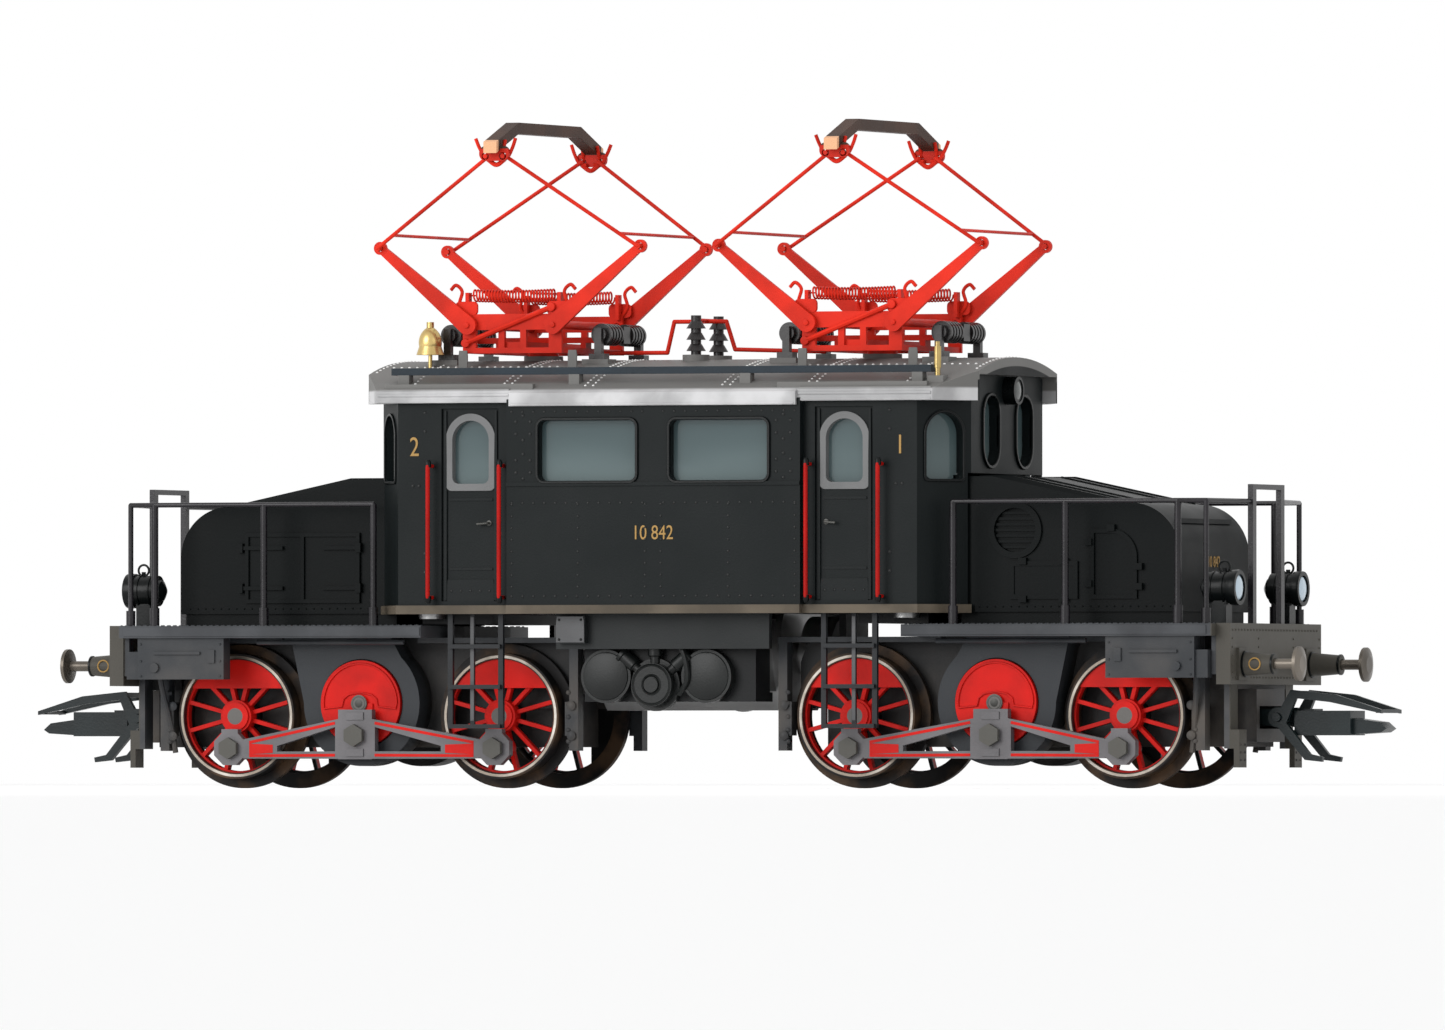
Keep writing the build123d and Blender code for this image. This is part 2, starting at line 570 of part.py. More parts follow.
def make_cab_shell():
    """Cab walls: proud middle panels, doors, belt mouldings and all window openings."""
    with BuildPart() as shell:
        add(cab_envelope())
        with BuildSketch(Plane.XY.offset(SILL_Z)):
            add(plan_outline(0.3))
            make_face()
            Rectangle(2 * MID_X, 2 * MID_Y + 0.4)
        extrude(amount=FLOOR_Z1 - SILL_Z)
        for side in (-1, 1):
            block(-MID_X, MID_X, side * MID_Y, side * (MID_Y + 0.2), BELT_Z - 0.2, BELT_Z + 0.2)
        with BuildSketch(Plane.XY.offset(SILL_Z)):
            add(plan_outline(-WALL))
            make_face()
            Rectangle(2 * (MID_X - WALL), 2 * (MID_Y - WALL))
        extrude(amount=30, mode=Mode.SUBTRACT)
        for end, side in ENDS_AND_SIDES:
            block(end * (DOOR_X - 3.3), end * (DOOR_X + 3.3), side * 15.6, side * 17, FLOOR_Z1 + 0.4, 39.4,
                  mode=Mode.SUBTRACT)
            arched_opening(side_plane(end * DOOR_X, side, 15.4, 30.65), 5.7, 8.22, 3, Mode.SUBTRACT)
            with BuildSketch(side_plane(end * SIDE_WINDOW_X, side, 16.4, SIDE_WINDOW_Z)):
                RectangleRounded(11.1, 6.4, 0.7)
            extrude(amount=3, both=True, mode=Mode.SUBTRACT)
            arched_opening(facet_plane(end, side, 31.7, 0.5), 4.55, 7.0, 3, Mode.SUBTRACT)
            with BuildSketch(end_plane(end, side * 4.8, 33.2, 36.9)):
                RectangleRounded(4.4, 7.4, 2.1)
            extrude(amount=2, both=True, mode=Mode.SUBTRACT)
            block(end * 32, end * 35, -10.75, 10.75, 17, HOOD_TOP + 0.35, mode=Mode.SUBTRACT)
    return shell.part


def make_roof():
    """Arched sheet roof with overhanging eaves, gutters and walkboard brackets."""
    with BuildPart() as roof:
        with BuildSketch(Plane.XY.offset(39.6)):
            with BuildLine():
                Polyline((35.0, 11.4), (31.8, 16.8), (-31.8, 16.8), (-35.0, 11.4),
                         (-35.0, -11.4), (-31.8, -16.8), (31.8, -16.8), (35.0, -11.4), close=True)
            make_face()
            Rectangle(2 * (MID_X - 0.4), 34.6)
        extrude(amount=6)
        add(arch_below(ROOF_R, 20, 10), mode=Mode.INTERSECT)
        for end in (-1, 1):
            block(end * (MID_X - 0.4), end * 36, -18, 18, 39, 40.0, mode=Mode.SUBTRACT)
            block(end * 33.0, end * 36, -11.3, 11.3, 39, 42.8, mode=Mode.SUBTRACT)
        add(cab_envelope(), mode=Mode.SUBTRACT)
        for end, side in ENDS_AND_SIDES:
            block(end * 14.0, end * 31.0, side * 15.7, side * 16.4, 41.0, 42.0)
            for bracket_x in (9.8, 29.4):
                block(end * (bracket_x - 0.6), end * (bracket_x + 0.6), side * 13.9, side * 15.1, 41.6, 43.0)
        block(30.6, 32.4, -15.2, -13.8, 41.7, 42.6)
        for panto in (-PANTO_X, PANTO_X):
            bar_z(panto, 0, 2.1, 44.2, 45.2)
            for foot_x in (-INSULATOR_X, INSULATOR_X):
                for side in (-1, 1):
                    block(panto + foot_x - 1.5, panto + foot_x + 1.5, side * 4.4, side * 6.8, 43.6, 44.75)
        for bushing_y in (-3.2, 3.2):
            bar_z(-0.6, bushing_y, 1.45, 44.2, 45.2)
    return roof.part


def make_glazing():
    """Clear panes behind every window opening, notched where the swinging hoods pass."""
    with BuildPart() as glazing:
        for end, side in ENDS_AND_SIDES:
            block(end * 1.1, end * 13.9, side * (MID_Y - WALL - 0.5), side * (MID_Y - WALL), 30.7, 38.9)
            block(end * (DOOR_X - 3.2), end * (DOOR_X + 3.2), side * 14.4, side * 14.9, 30.2, 39.3)
            block(end * 32.1, end * 32.7, side * 2.3, side * 7.3, 32.8, 40.9)
            with BuildSketch(facet_plane(end, side, 35.2, WALL + 0.65)):
                Rectangle(4.9, 7.6)
            extrude(amount=0.45)
            block(end * 31.3, end * 33, side * 9.5, side * 10.9, 31.0, HOOD_TOP + 0.15, mode=Mode.SUBTRACT)
    return glazing.part


def make_door_window_frames():
    """Four arched frames set in the door windows."""
    with BuildPart() as frames:
        for end, side in ENDS_AND_SIDES:
            opening = side_plane(end * DOOR_X, side, 15.35, 30.65)
            arched_opening(opening, 5.7, 8.22, 0.9, Mode.ADD)
            inner = side_plane(end * DOOR_X, side, 15.35, 31.4)
            arched_opening(inner, 4.2, 6.72, 3, Mode.SUBTRACT)
    return frames.part


def make_door_handrails():
    """Eight upright handrails beside the doors, standing off the walls on short feet."""
    with BuildPart() as rails:
        for end, side in ENDS_AND_SIDES:
            for rail_x in (25.75, 17.55):
                wall_y = CAB_SIDE_Y if rail_x > MID_X else MID_Y
                for foot_z in (19.3, 33.3):
                    wire((end * rail_x, side * wall_y, foot_z), (end * rail_x, side * 17.2, foot_z), 0.2)
                wire((end * rail_x, side * 17.2, 19.3), (end * rail_x, side * 17.2, 33.3), 0.23)
    return rails.part


def make_ladders():
    """Four ladders below the doors: two stringers, three steps and a bent brace each."""
    with BuildPart() as ladders:
        for end, side in ENDS_AND_SIDES:
            y0, y1 = side * 13.95, side * 14.45
            for stringer_x in (18.5, 24.3):
                block(end * (stringer_x - 0.28), end * (stringer_x + 0.28), y0, y1, 5.4, SILL_Z)
            for step_z in (14.1, 9.8, 5.6):
                block(end * 18.4, end * 24.4, side * 13.95, side * 14.9, step_z - 0.22, step_z + 0.22)
            block(end * 21.6, end * 22.1, y0, side * 14.2, 5.6, SILL_Z)
    return ladders.part


def make_chassis():
    """Floor plate with bolsters, truck pivots and a central belly that carries the motor."""
    with BuildPart() as chassis:
        with BuildSketch(Plane.XY.offset(SILL_Z)):
            add(plan_outline(-WALL - 0.05))
            make_face()
            Rectangle(61.2, 32, mode=Mode.INTERSECT)
        extrude(amount=FLOOR_Z1 - SILL_Z)
        block(-9.8, 9.8, -12.0, 12.0, 8.2, SILL_Z)
        block(-12.0, 12.0, -8.0, 8.0, 7, 20, mode=Mode.SUBTRACT)
        for side in (-1, 1):
            block(-12.2, 12.2, side * 13.4, side * 14.2, 13.8, SILL_Z)
            block(-11.8, -8.5, side * 14.2, side * 15.2, 14.4, 17.3)
            block(-9.8, 9.8, side * 12.0, side * 13.4, 15.2, SILL_Z)
        for end in (-1, 1):
            block(end * 21.0, end * 29.0, -10.8, 10.8, 16.5, SILL_Z)
            bar_z(end * PIVOT_X, 0, 3.4, 16.4, SILL_Z)
            bar_z(end * PIVOT_X, 0, 2.0, 14.86, SILL_Z)
        for side in (-1, 1):
            block(-9.8, 9.8, side * 7.2, side * 8.0, 8.2, 9.2)
        for bearing_x in (-16.2, 16.2):
            block(bearing_x - 0.4, bearing_x + 0.4, -3.2, 3.2, 12.0, SILL_Z)
            bar_x(0, SHAFT_Z, 0.8, bearing_x - 1, bearing_x + 1, mode=Mode.SUBTRACT)
    return chassis.part


def make_compressor():
    """Three-cylinder compressor on each flank of the belly, with two air tanks beside it."""
    with BuildPart() as compressor:
        for side in (-1, 1):
            centre_x, centre_z = -1.4, 10.0
            bar_y(centre_x, centre_z, 2.8, side * 12.0, side * 12.8)
            bar_y(centre_x, centre_z, 2.3, side * 12.8, side * 13.9)
            bar_y(centre_x, centre_z, 0.8, side * 13.9, side * 14.1)
            for lean in (-50, 0, 50):
                way = (math.sin(math.radians(lean)), math.cos(math.radians(lean)))
                foot = Vector(centre_x + way[0] * 1.8, side * 12.7, centre_z + way[1] * 1.8)
                barrel = Plane(origin=foot, z_dir=(way[0], 0, way[1]))
                with BuildSketch(barrel):
                    Circle(0.45)
                extrude(amount=1.4)
                with BuildSketch(barrel.offset(1.1)):
                    Circle(0.65)
                extrude(amount=1.7)
            for tank_x in (4.6, -6.9):
                bar_y(tank_x, 10.9, 2.85, side * 12.0, side * 13.2)
    return compressor.part


def make_roof_insulators():
    """Four ribbed insulators across the roof with their posts, and two upright bushings."""
    with BuildPart() as insulators:
        for panto in (-PANTO_X, PANTO_X):
            for offset_x in (-INSULATOR_X, INSULATOR_X):
                x = panto + offset_x
                bar_y(x, INSULATOR_Z, 0.75, -5.6, 5.6)
                for rib in range(5):
                    for side in (-1, 1):
                        bar_y(x, INSULATOR_Z, 1.17, side * (1.3 + rib * 0.8), side * (1.75 + rib * 0.8))
                block(x - 0.95, x + 0.95, -0.9, 0.9, 46.5, 48.3)
                for side in (-1, 1):
                    block(x - 0.4, x + 0.4, side * 5.2, side * 6.0, 45.3, 48.1)
                    block(x - 0.9, x + 0.9, side * 4.9, side * 6.3, 44.75, 45.35)
        for bushing_y in (-3.2, 3.2):
            bar_z(-0.6, bushing_y, 0.55, 45.2, 49.4)
            for rib_z in (45.6, 46.8, 48.0):
                with BuildSketch(Plane((-0.6, bushing_y, rib_z))):
                    Circle(1.05)
                with BuildSketch(Plane((-0.6, bushing_y, rib_z + 0.75))):
                    Circle(0.6)
                loft()
    return insulators.part


def make_busbar():
    """Roof line from pantograph to pantograph, stepping up between the two bushings."""
    route = [(-12.9, 0, 45.5), (-5.2, 0, 45.5), (-4.4, 0, 48.8), (1.6, 0, 48.8), (2.6, 0, 45.8),
             (12.9, 0, 45.5)]
    with BuildPart() as busbar:
        for start, end in zip(route, route[1:]):
            wire(start, end, 0.23)
        wire((-0.6, -2.62, 48.9), (-0.6, 2.62, 48.9), 0.2)
    return busbar.part


def make_walkboards():
    """Two long boards along the roof edges."""
    with BuildPart() as boards:
        for side in (-1, 1):
            block(-30.9, 30.9, side * 13.7, side * 14.9, 43.0, 43.75)
    return boards.part


def make_bell_and_whistle():
    """Brass bell on a stem at one corner and a whistle on a block at the other."""
    with BuildPart() as brass:
        with BuildSketch(Plane.XZ.offset(8)):
            with BuildLine():
                Polyline((-29.3, 46.0), (-27.8, 45.3), (-28.1, 46.2))
                ThreePointArc((-28.1, 46.2), (-28.3, 47.55), (-28.9, 48.2))
                Polyline((-28.9, 48.2), (-28.9, 48.8), (-29.3, 48.8), (-29.3, 46.0))
            make_face()
        revolve(axis=Axis((-29.3, -8, 0), (0, 0, 1)))
        bar_z(-29.3, -8, 0.22, 43.9, 46.6)
        bar_z(31.5, -14.5, 0.3, 42.6, 43.6)
        bar_z(31.5, -14.5, 0.38, 43.4, 45.7)
        bar_z(31.5, -14.5, 0.25, 45.7, 46.2)
    return brass.part


def make_upper_headlamps():
    """One lamp under the roof's edge at each end of the cab."""
    with BuildPart() as lamps:
        for end in (-1, 1):
            bar_x(0, 41.2, 1.5, end * CAB_END_X, end * 35.1)
            bar_x(0, 41.2, 1.2, end * 34.8, end * 35.2, mode=Mode.SUBTRACT)
            bar_x(0, 41.2, 1.19, end * 34.8, end * 35.0)
    return lamps.part


def make_motor():
    """Flat-sided can motor with its bearing bosses."""
    with BuildPart() as motor:
        bar_x(0, SHAFT_Z, 7.1, -MOTOR_HALF_L, MOTOR_HALF_L)
        for side in (-1, 1):
            block(-11, 11, -9, 9, SHAFT_Z + side * 5.9, SHAFT_Z + side * 9, mode=Mode.SUBTRACT)
        block(-9.7, 9.7, -7.9, 7.9, 9.3, 17.0)
        bar_x(0, SHAFT_Z, 2.0, -MOTOR_HALF_L - 0.5, MOTOR_HALF_L + 0.5)
        bar_x(0, SHAFT_Z, 0.8, -12, 12, mode=Mode.SUBTRACT)
    return motor.part


def make_motor_shaft():
    """Motor shaft with two flywheels and a worm at each end."""
    with BuildPart() as shaft:
        bar_x(0, SHAFT_Z, 0.75, -39.4, 39.4)
        for end in (-1, 1):
            bar_x(0, SHAFT_Z, 4.1, end * 11.6, end * 15.2)
            bar_x(0, SHAFT_Z, 1.4, end * 33.2, end * 39.2)
            for turn in range(7):
                bar_x(0, SHAFT_Z, 1.1, end * (33.6 + turn * 0.8), end * (33.9 + turn * 0.8))
    return shaft.part


def make_circuit_board():
    """Printed board over the motor, with its coils and suppressor."""
    with BuildPart() as board:
        block(-27.0, 27.0, -9.0, 9.0, 22.4, 23.4)
        for end in (-1, 1):
            block(end * 24.0, end * 26.0, -6.0, 6.0, FLOOR_Z1, 22.4)
            bar_y(end * 15.0, 24.6, 1.2, -3.0, 3.0)
        block(-4.0, 4.0, -3.0, 3.0, 23.4, 26.0)
    return board.part


def make_body_screws():
    """Two shouldered screws that hold the trucks, and four that hold the cab to the floor."""
    with BuildPart() as screws:
        for end in (-1, 1):
            bar_z(end * PIVOT_X, 0, 2.8, 14.25, 14.86)
            for side in (-1, 1):
                bar_z(end * 27.2, side * 12.5, 1.4, SILL_Z - 0.5, SILL_Z)
    return screws.part


# --- Pantographs -----------------------------------------------------------------------

def make_pantograph_base(panto_x):
    """Pressed base: two pierced side plates, cross bars and spring anchors."""
    with BuildPart() as base:
        for side in (-1, 1):
            block(panto_x - 5.7, panto_x + 5.7, side * 8.3, side * 8.8, 45.4, 49.6)
            for window_x, half in ((-2.9, 1.3), (2.9, 1.3), (0, 0.9)):
                block(panto_x + window_x - half, panto_x + window_x + half, side * 8, side * 9, 46.0, 47.9,
                      mode=Mode.SUBTRACT)
            for anchor in (-1, 1):
                block(panto_x + anchor * 5.1, panto_x + anchor * 5.5, side * 7.7, side * 8.6, 49.2, 51.9)
        for bar_at in (-5.1, 5.1):
            block(panto_x + bar_at - 0.5, panto_x + bar_at + 0.5, -8.4, 8.4, 45.4, 46.0)
        block(panto_x - 7.75, panto_x + 7.75, -0.8, 0.8, 46.6, 47.2)
        block(panto_x - 5.2, panto_x - 4.6, -0.8, 0.8, 45.4, 46.7)
        block(panto_x + 4.6, panto_x + 5.2, -0.8, 0.8, 45.4, 46.7)
        block(panto_x - 1.4, panto_x + 1.4, -8.4, 8.4, 46.0, 46.6)
        bar_z(panto_x, 0, 1.6, 45.2, 46.6)
        for pivot in (-1, 1):
            bar_y(panto_x + pivot * BASE_PIVOT[0], BASE_PIVOT[1], 0.5, -9, 9, mode=Mode.SUBTRACT)
    return base.part


def place_arm(shape, panto_x, hand):
    """Put a piece drawn for the left-hand frame on its pantograph, mirrored for the right hand."""
    handed = mirror(shape, about=Plane.YZ) if hand > 0 else shape
    return Pos(panto_x, 0, 0) * handed


def make_lower_arm(panto_x, hand):
    """Lower frame: two tapered flat arms on one cross shaft, with eyes at the knees."""
    run = (KNEE[0] - BASE_PIVOT[0], KNEE[1] - BASE_PIVOT[1])
    length = math.hypot(*run)
    along = Plane((BASE_PIVOT[0], 0, BASE_PIVOT[1]), x_dir=(run[0], 0, run[1]), z_dir=(0, -1, 0))
    with BuildPart() as arm:
        for side in (-1, 1):
            with BuildSketch(along.offset(-side * 9.05)):
                Circle(1.0)
                with Locations((length, 0)):
                    Circle(0.7)
                with BuildLine():
                    Polyline((0, 1.0), (length, 0.45), (length, -0.45), (0, -1.0), close=True)
                make_face()
            extrude(amount=-side * 0.5)
        bar_y(BASE_PIVOT[0], BASE_PIVOT[1], 0.45, -9.1, 9.1)
        bar_y(KNEE[0], KNEE[1], 0.36, -12, 12, mode=Mode.SUBTRACT)
    return place_arm(arm.part, panto_x, hand)


def make_upper_arm(panto_x, hand):
    """Upper frame: two splayed wires from the knee pins to the head pins, tied by a cross wire."""
    with BuildPart() as arm:
        for side in (-1, 1):
            knee = (KNEE[0], side * KNEE_Y, KNEE[1])
            head = (HEAD_PIVOT[0], side * HEAD_PIVOT_Y, HEAD_PIVOT[1])
            wire(knee, head, WIRE_R)
            bar_y(KNEE[0], KNEE[1], 0.3, side * 8.8, side * 10.3)
            bar_y(HEAD_PIVOT[0], HEAD_PIVOT[1], 0.24, side * (HEAD_PIVOT_Y - 0.1), side * 14.0)
        tie_x = KNEE[0] + TIE_AT * (HEAD_PIVOT[0] - KNEE[0])
        tie_z = KNEE[1] + TIE_AT * (HEAD_PIVOT[1] - KNEE[1])
        tie_y = KNEE_Y + TIE_AT * (HEAD_PIVOT_Y - KNEE_Y)
        bar_y(tie_x, tie_z, TIE_R, -tie_y, tie_y)
    return place_arm(arm.part, panto_x, hand)


def make_pantograph_head(panto_x):
    """Collector bow with down-turned horns on two pierced brackets."""
    flat_y, flat_z = 8.7, 69.4
    horn_y, horn_z = 15.0, 67.2
    with BuildPart() as head:
        with BuildSketch(Plane.YZ.offset(panto_x - 0.75)):
            with BuildLine():
                Polyline((-horn_y, horn_z + 0.6), (-flat_y, flat_z + 0.6), (flat_y, flat_z + 0.6),
                         (horn_y, horn_z + 0.6), (horn_y, horn_z - 0.6), (flat_y, flat_z - 0.6),
                         (-flat_y, flat_z - 0.6), (-horn_y, horn_z - 0.6), close=True)
            make_face()
        extrude(amount=1.5)
        for side in (-1, 1):
            with BuildSketch(Plane((panto_x, side * 13.4, 0), x_dir=(-side, 0, 0), z_dir=(0, side, 0))):
                with Locations((0, 66.6)):
                    RectangleRounded(3.4, 1.6, 0.75)
                with Locations((0, 67.2)):
                    Rectangle(1.6, 1.6)
                with Locations((HEAD_PIVOT[0], HEAD_PIVOT[1]), (-HEAD_PIVOT[0], HEAD_PIVOT[1])):
                    Circle(0.42, mode=Mode.SUBTRACT)
            extrude(amount=0.5)
    return head.part


def make_springs():
    """Two tension springs on each pantograph, drawn as their closed outer shape."""
    with BuildPart() as springs:
        for panto in (-PANTO_X, PANTO_X):
            for side in (-1, 1):
                bar_x(side * SPRING_Y, SPRING_Z, SPRING_R, panto - SPRING_HALF_L, panto + SPRING_HALF_L)
    return springs.part


# --- Output ----------------------------------------------------------------------------

save(make_chassis(), "chassis_frame")
save(make_cab_shell(), "cab_shell")
save(make_roof(), "cab_roof")
save(make_glazing(), "window_glazing")
save(make_door_window_frames(), "door_window_frames")
save(make_door_handrails(), "door_handrails")
save(make_ladders(), "entry_ladders")
save(make_walkboards(), "roof_walkboards")
save(make_bell_and_whistle(), "bell_and_whistle")
save(make_roof_insulators(), "roof_insulators")
save(make_busbar(), "roof_busbar")
save(make_upper_headlamps(), "upper_headlamps")
save(make_motor(), "motor")
save(make_motor_shaft(), "motor_shaft")
save(make_circuit_board(), "circuit_board")
save(make_body_screws(), "body_screws")
save(make_compressor(), "compressor_and_tanks")
save(make_springs(), "pantograph_springs")

for end_name, turn, down_side in (("front", 0, -1), ("rear", 180, 1)):
    save(make_truck_frame(), f"{end_name}_truck_frame", turn)
    save(make_deck(), f"{end_name}_deck", turn)
    save(make_hood(), f"{end_name}_hood", turn)
    save(make_railings(), f"{end_name}_railings", turn)
    save(make_deck_headlamps(), f"{end_name}_deck_headlamps", turn)
    save(make_brakes_and_boxes(), f"{end_name}_brakes_and_boxes", turn)
    save(make_wheelset(OUTER_AXLE_X, down_side), f"{end_name}_outer_wheelset", turn)
    save(make_wheelset(INNER_AXLE_X, down_side), f"{end_name}_inner_wheelset", turn)
    save(make_jackshaft(down_side), f"{end_name}_jackshaft", turn)
    save(make_side_rod(down_side, False), f"{end_name}_right_rod", turn)
    save(make_side_rod(-down_side, True), f"{end_name}_left_rod", turn)
    save(make_coupler(), f"{end_name}_coupler", turn)
    save(make_coupler_loop(), f"{end_name}_coupler_loop", turn)
    for side, side_name in ((-1, "right"), (1, "left")):
        save(make_buffer(side), f"{end_name}_buffer_{side_name}", turn)

for end_name, panto_x in (("front", PANTO_X), ("rear", -PANTO_X)):
    save(make_pantograph_base(panto_x), f"{end_name}_pantograph_base")
    save(make_pantograph_head(panto_x), f"{end_name}_pantograph_head")
    for hand, hand_name in ((-1, "back"), (1, "fore")):
        save(make_lower_arm(panto_x, hand), f"{end_name}_{hand_name}_lower_arm")
        save(make_upper_arm(panto_x, hand), f"{end_name}_{hand_name}_upper_arm")
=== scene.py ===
"""Finish of the model electric locomotive: materials, small fittings, stage and camera."""
import math

import bmesh
import bpy
import numpy as np
from bpy.props import FloatProperty, FloatVectorProperty, PointerProperty
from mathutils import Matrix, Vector


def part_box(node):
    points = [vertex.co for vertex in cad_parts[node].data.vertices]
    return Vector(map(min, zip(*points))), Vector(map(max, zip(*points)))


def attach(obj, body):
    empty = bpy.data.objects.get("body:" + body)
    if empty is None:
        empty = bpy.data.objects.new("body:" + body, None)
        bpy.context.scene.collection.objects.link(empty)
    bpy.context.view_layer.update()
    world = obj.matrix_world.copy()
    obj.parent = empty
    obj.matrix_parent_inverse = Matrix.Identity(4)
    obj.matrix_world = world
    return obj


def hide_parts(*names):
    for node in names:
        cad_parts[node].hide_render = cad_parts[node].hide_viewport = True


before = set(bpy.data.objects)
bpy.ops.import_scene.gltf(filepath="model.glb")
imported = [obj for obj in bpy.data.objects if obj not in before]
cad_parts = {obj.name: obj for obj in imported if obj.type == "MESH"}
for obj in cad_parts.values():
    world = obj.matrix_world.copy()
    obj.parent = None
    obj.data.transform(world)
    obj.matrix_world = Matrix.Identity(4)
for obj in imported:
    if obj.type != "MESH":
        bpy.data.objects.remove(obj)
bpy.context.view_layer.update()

bl_info = {
    "name": "Locomotive Finish",
    "version": (1, 0, 0),
    "blender": (4, 5, 0),
    "location": "View3D > Sidebar > Locomotive",
    "description": "Fittings, materials and studio for a model electric locomotive",
    "category": "Object",
}

MM = 0.001
ENDS = (("front", 1), ("rear", -1))
SIDES = (-1, 1)


# --- Places read from the frame, in millimetres -------------------------------------------

def corners(node):
    """Lowest and highest corner of a node in millimetres."""
    low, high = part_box(node)
    return np.array(low) / MM, np.array(high) / MM


WHEEL_LOW, WHEEL_HIGH = corners("front_outer_wheelset")
INNER_LOW, INNER_HIGH = corners("front_inner_wheelset")
JACK_LOW, JACK_HIGH = corners("front_jackshaft")
AXLE_Z = (WHEEL_LOW[2] + WHEEL_HIGH[2]) / 2
RAIL_Z = AXLE_Z - 6.7
OUTER_X = (WHEEL_LOW[0] + WHEEL_HIGH[0]) / 2
INNER_X = (INNER_LOW[0] + INNER_HIGH[0]) / 2
JACK_X = (JACK_LOW[0] + JACK_HIGH[0]) / 2
JACK_Z = (JACK_LOW[2] + JACK_HIGH[2]) / 2
CRANK = 3.42
ROD_FACE_Y = 11.8
CAB_FRONT_X = 33.7
CAB_SIDE_Y = 15.9
MID_Y = 16.9
DOOR_X = 21.4
HOOD_SIDE_Y = 10.3
DECK_TOP = RAIL_Z + 16.35
BEAM_X = 64.2
PANTO_X = 19.5
ROOF_TOP = RAIL_Z + 44.73
ROOF_R = 42.0


def roof_height(y):
    """Height of the arched roof at a distance from its centre line."""
    return ROOF_TOP - ROOF_R + np.sqrt(ROOF_R ** 2 - np.asarray(y, float) ** 2)


# --- Shader maths ---------------------------------------------------------------------------

class Value:
    """A shader socket that adds its Math nodes when it is used in an expression."""

    def __init__(self, look, socket):
        self.look = look
        self.socket = socket

    def __add__(self, other):
        return self.look.math("ADD", self, other)

    def __radd__(self, other):
        return self.look.math("ADD", other, self)

    def __sub__(self, other):
        return self.look.math("SUBTRACT", self, other)

    def __rsub__(self, other):
        return self.look.math("SUBTRACT", other, self)

    def __mul__(self, other):
        return self.look.math("MULTIPLY", self, other)

    def __rmul__(self, other):
        return self.look.math("MULTIPLY", other, self)

    def __truediv__(self, other):
        return self.look.math("DIVIDE", self, other)

    def __pow__(self, other):
        return self.look.math("POWER", self, other)


class Look:
    """A material under construction, with one Principled shader."""

    def __init__(self, name, **constants):
        self.material = bpy.data.materials.new(name)
        self.material.use_nodes = True
        self.tree = self.material.node_tree
        self.shader = self.tree.nodes["Principled BSDF"]
        for socket, value in constants.items():
            self.shader.inputs[socket.replace("_", " ")].default_value = value

    def node(self, kind, settings=None, inputs=None, output=0):
        """Add a node, set its settings, then fill its sockets with numbers or links."""
        made = self.tree.nodes.new(kind)
        for key, value in (settings or {}).items():
            setattr(made, key, value)
        for key, value in (inputs or {}).items():
            if isinstance(value, Value):
                self.tree.links.new(value.socket, made.inputs[key])
            else:
                made.inputs[key].default_value = value
        return Value(self, made.outputs[output])

    def math(self, operation, a, b=0.0, c=0.0, clamp=False):
        return self.node("ShaderNodeMath", {"operation": operation, "use_clamp": clamp}, {0: a, 1: b, 2: c})

    def mix(self, factor, a, b):
        """Blend two colours."""
        return self.node("ShaderNodeMix", {"data_type": "RGBA"}, {0: factor, 6: rgba(a), 7: rgba(b)}, 2)

    def place(self):
        return self.node("ShaderNodeTexCoord", output=3)

    def axes(self):
        """The X, Y and Z of a point of the piece, in metres."""
        split = self.node("ShaderNodeSeparateXYZ", inputs={0: self.place()})
        outputs = split.socket.node.outputs
        return [Value(self, outputs[i]) for i in range(3)]

    def noise(self, per_metre, detail=3.0, stretch=(1, 1, 1)):
        """Noise between 0 and 1 with a feature count per metre."""
        where = self.node("ShaderNodeMapping", inputs={0: self.place(), 3: stretch})
        return self.node("ShaderNodeTexNoise", inputs={"Vector": where, "Scale": per_metre, "Detail": detail})

    def step(self, value, low, high):
        """0 below low, 1 above high, smooth between."""
        return self.node("ShaderNodeMapRange", {"interpolation_type": "SMOOTHSTEP"},
                         {"Value": value, "From Min": low, "From Max": high})

    def feed(self, **sockets):
        for name, value in sockets.items():
            self.tree.links.new(value.socket, self.shader.inputs[name.replace("_", " ")])

    def bump(self, height, distance_mm, strength=1.0):
        self.feed(Normal=self.node("ShaderNodeBump",
                                   inputs={"Strength": strength, "Distance": distance_mm * MM, "Height": height}))


def rgba(colour):
    """A colour as the mixer takes it, or the link it already is."""
    return colour if isinstance(colour, Value) else (*colour[:3], 1.0)


def shade(colour, factor):
    """The same colour, lighter or darker."""
    return tuple(channel * factor for channel in colour[:3])


def paint(name, colour, roughness, metallic=0.0, grain=0.012, cloud=0.25, dust=0.0, shine=0.2):
    """Sprayed paint on a moulding: faint clouds, fine grain, and dust that settles low down."""
    look = Look(name, Metallic=metallic, Specular_IOR_Level=shine)
    clouds = look.noise(160, 4)
    fine = look.noise(5200, 2)
    tone = look.mix(look.step(clouds, 0.35, 0.68), shade(colour, 1 - cloud), shade(colour, 1 + cloud))
    if dust:  # Dust thins out with height
        height = look.axes()[2]
        low = 1 - look.step(height, 0.004, 0.020)
        tone = look.mix(low * look.step(clouds, 0.4, 0.75) * dust, tone, (0.16, 0.125, 0.09))
    look.feed(Base_Color=tone, Roughness=roughness + (clouds - 0.5) * 0.22)
    look.bump(fine, grain)
    return look


def plain(look):
    return look.material


# --- Surfaces -------------------------------------------------------------------------------

def lattice(points, wrap_u=False, wrap_v=False):
    """Quads over a grid of points (rows, columns, 3); either way may close on itself."""
    rows, cols = points.shape[:2]
    u, v = np.meshgrid(np.arange(rows - (not wrap_u)), np.arange(cols - (not wrap_v)), indexing="ij")
    u2, v2 = (u + 1) % rows, (v + 1) % cols
    quads = np.stack([u * cols + v, u2 * cols + v, u2 * cols + v2, u * cols + v2], axis=-1)
    return points.reshape(-1, 3), quads.reshape(-1, 4)


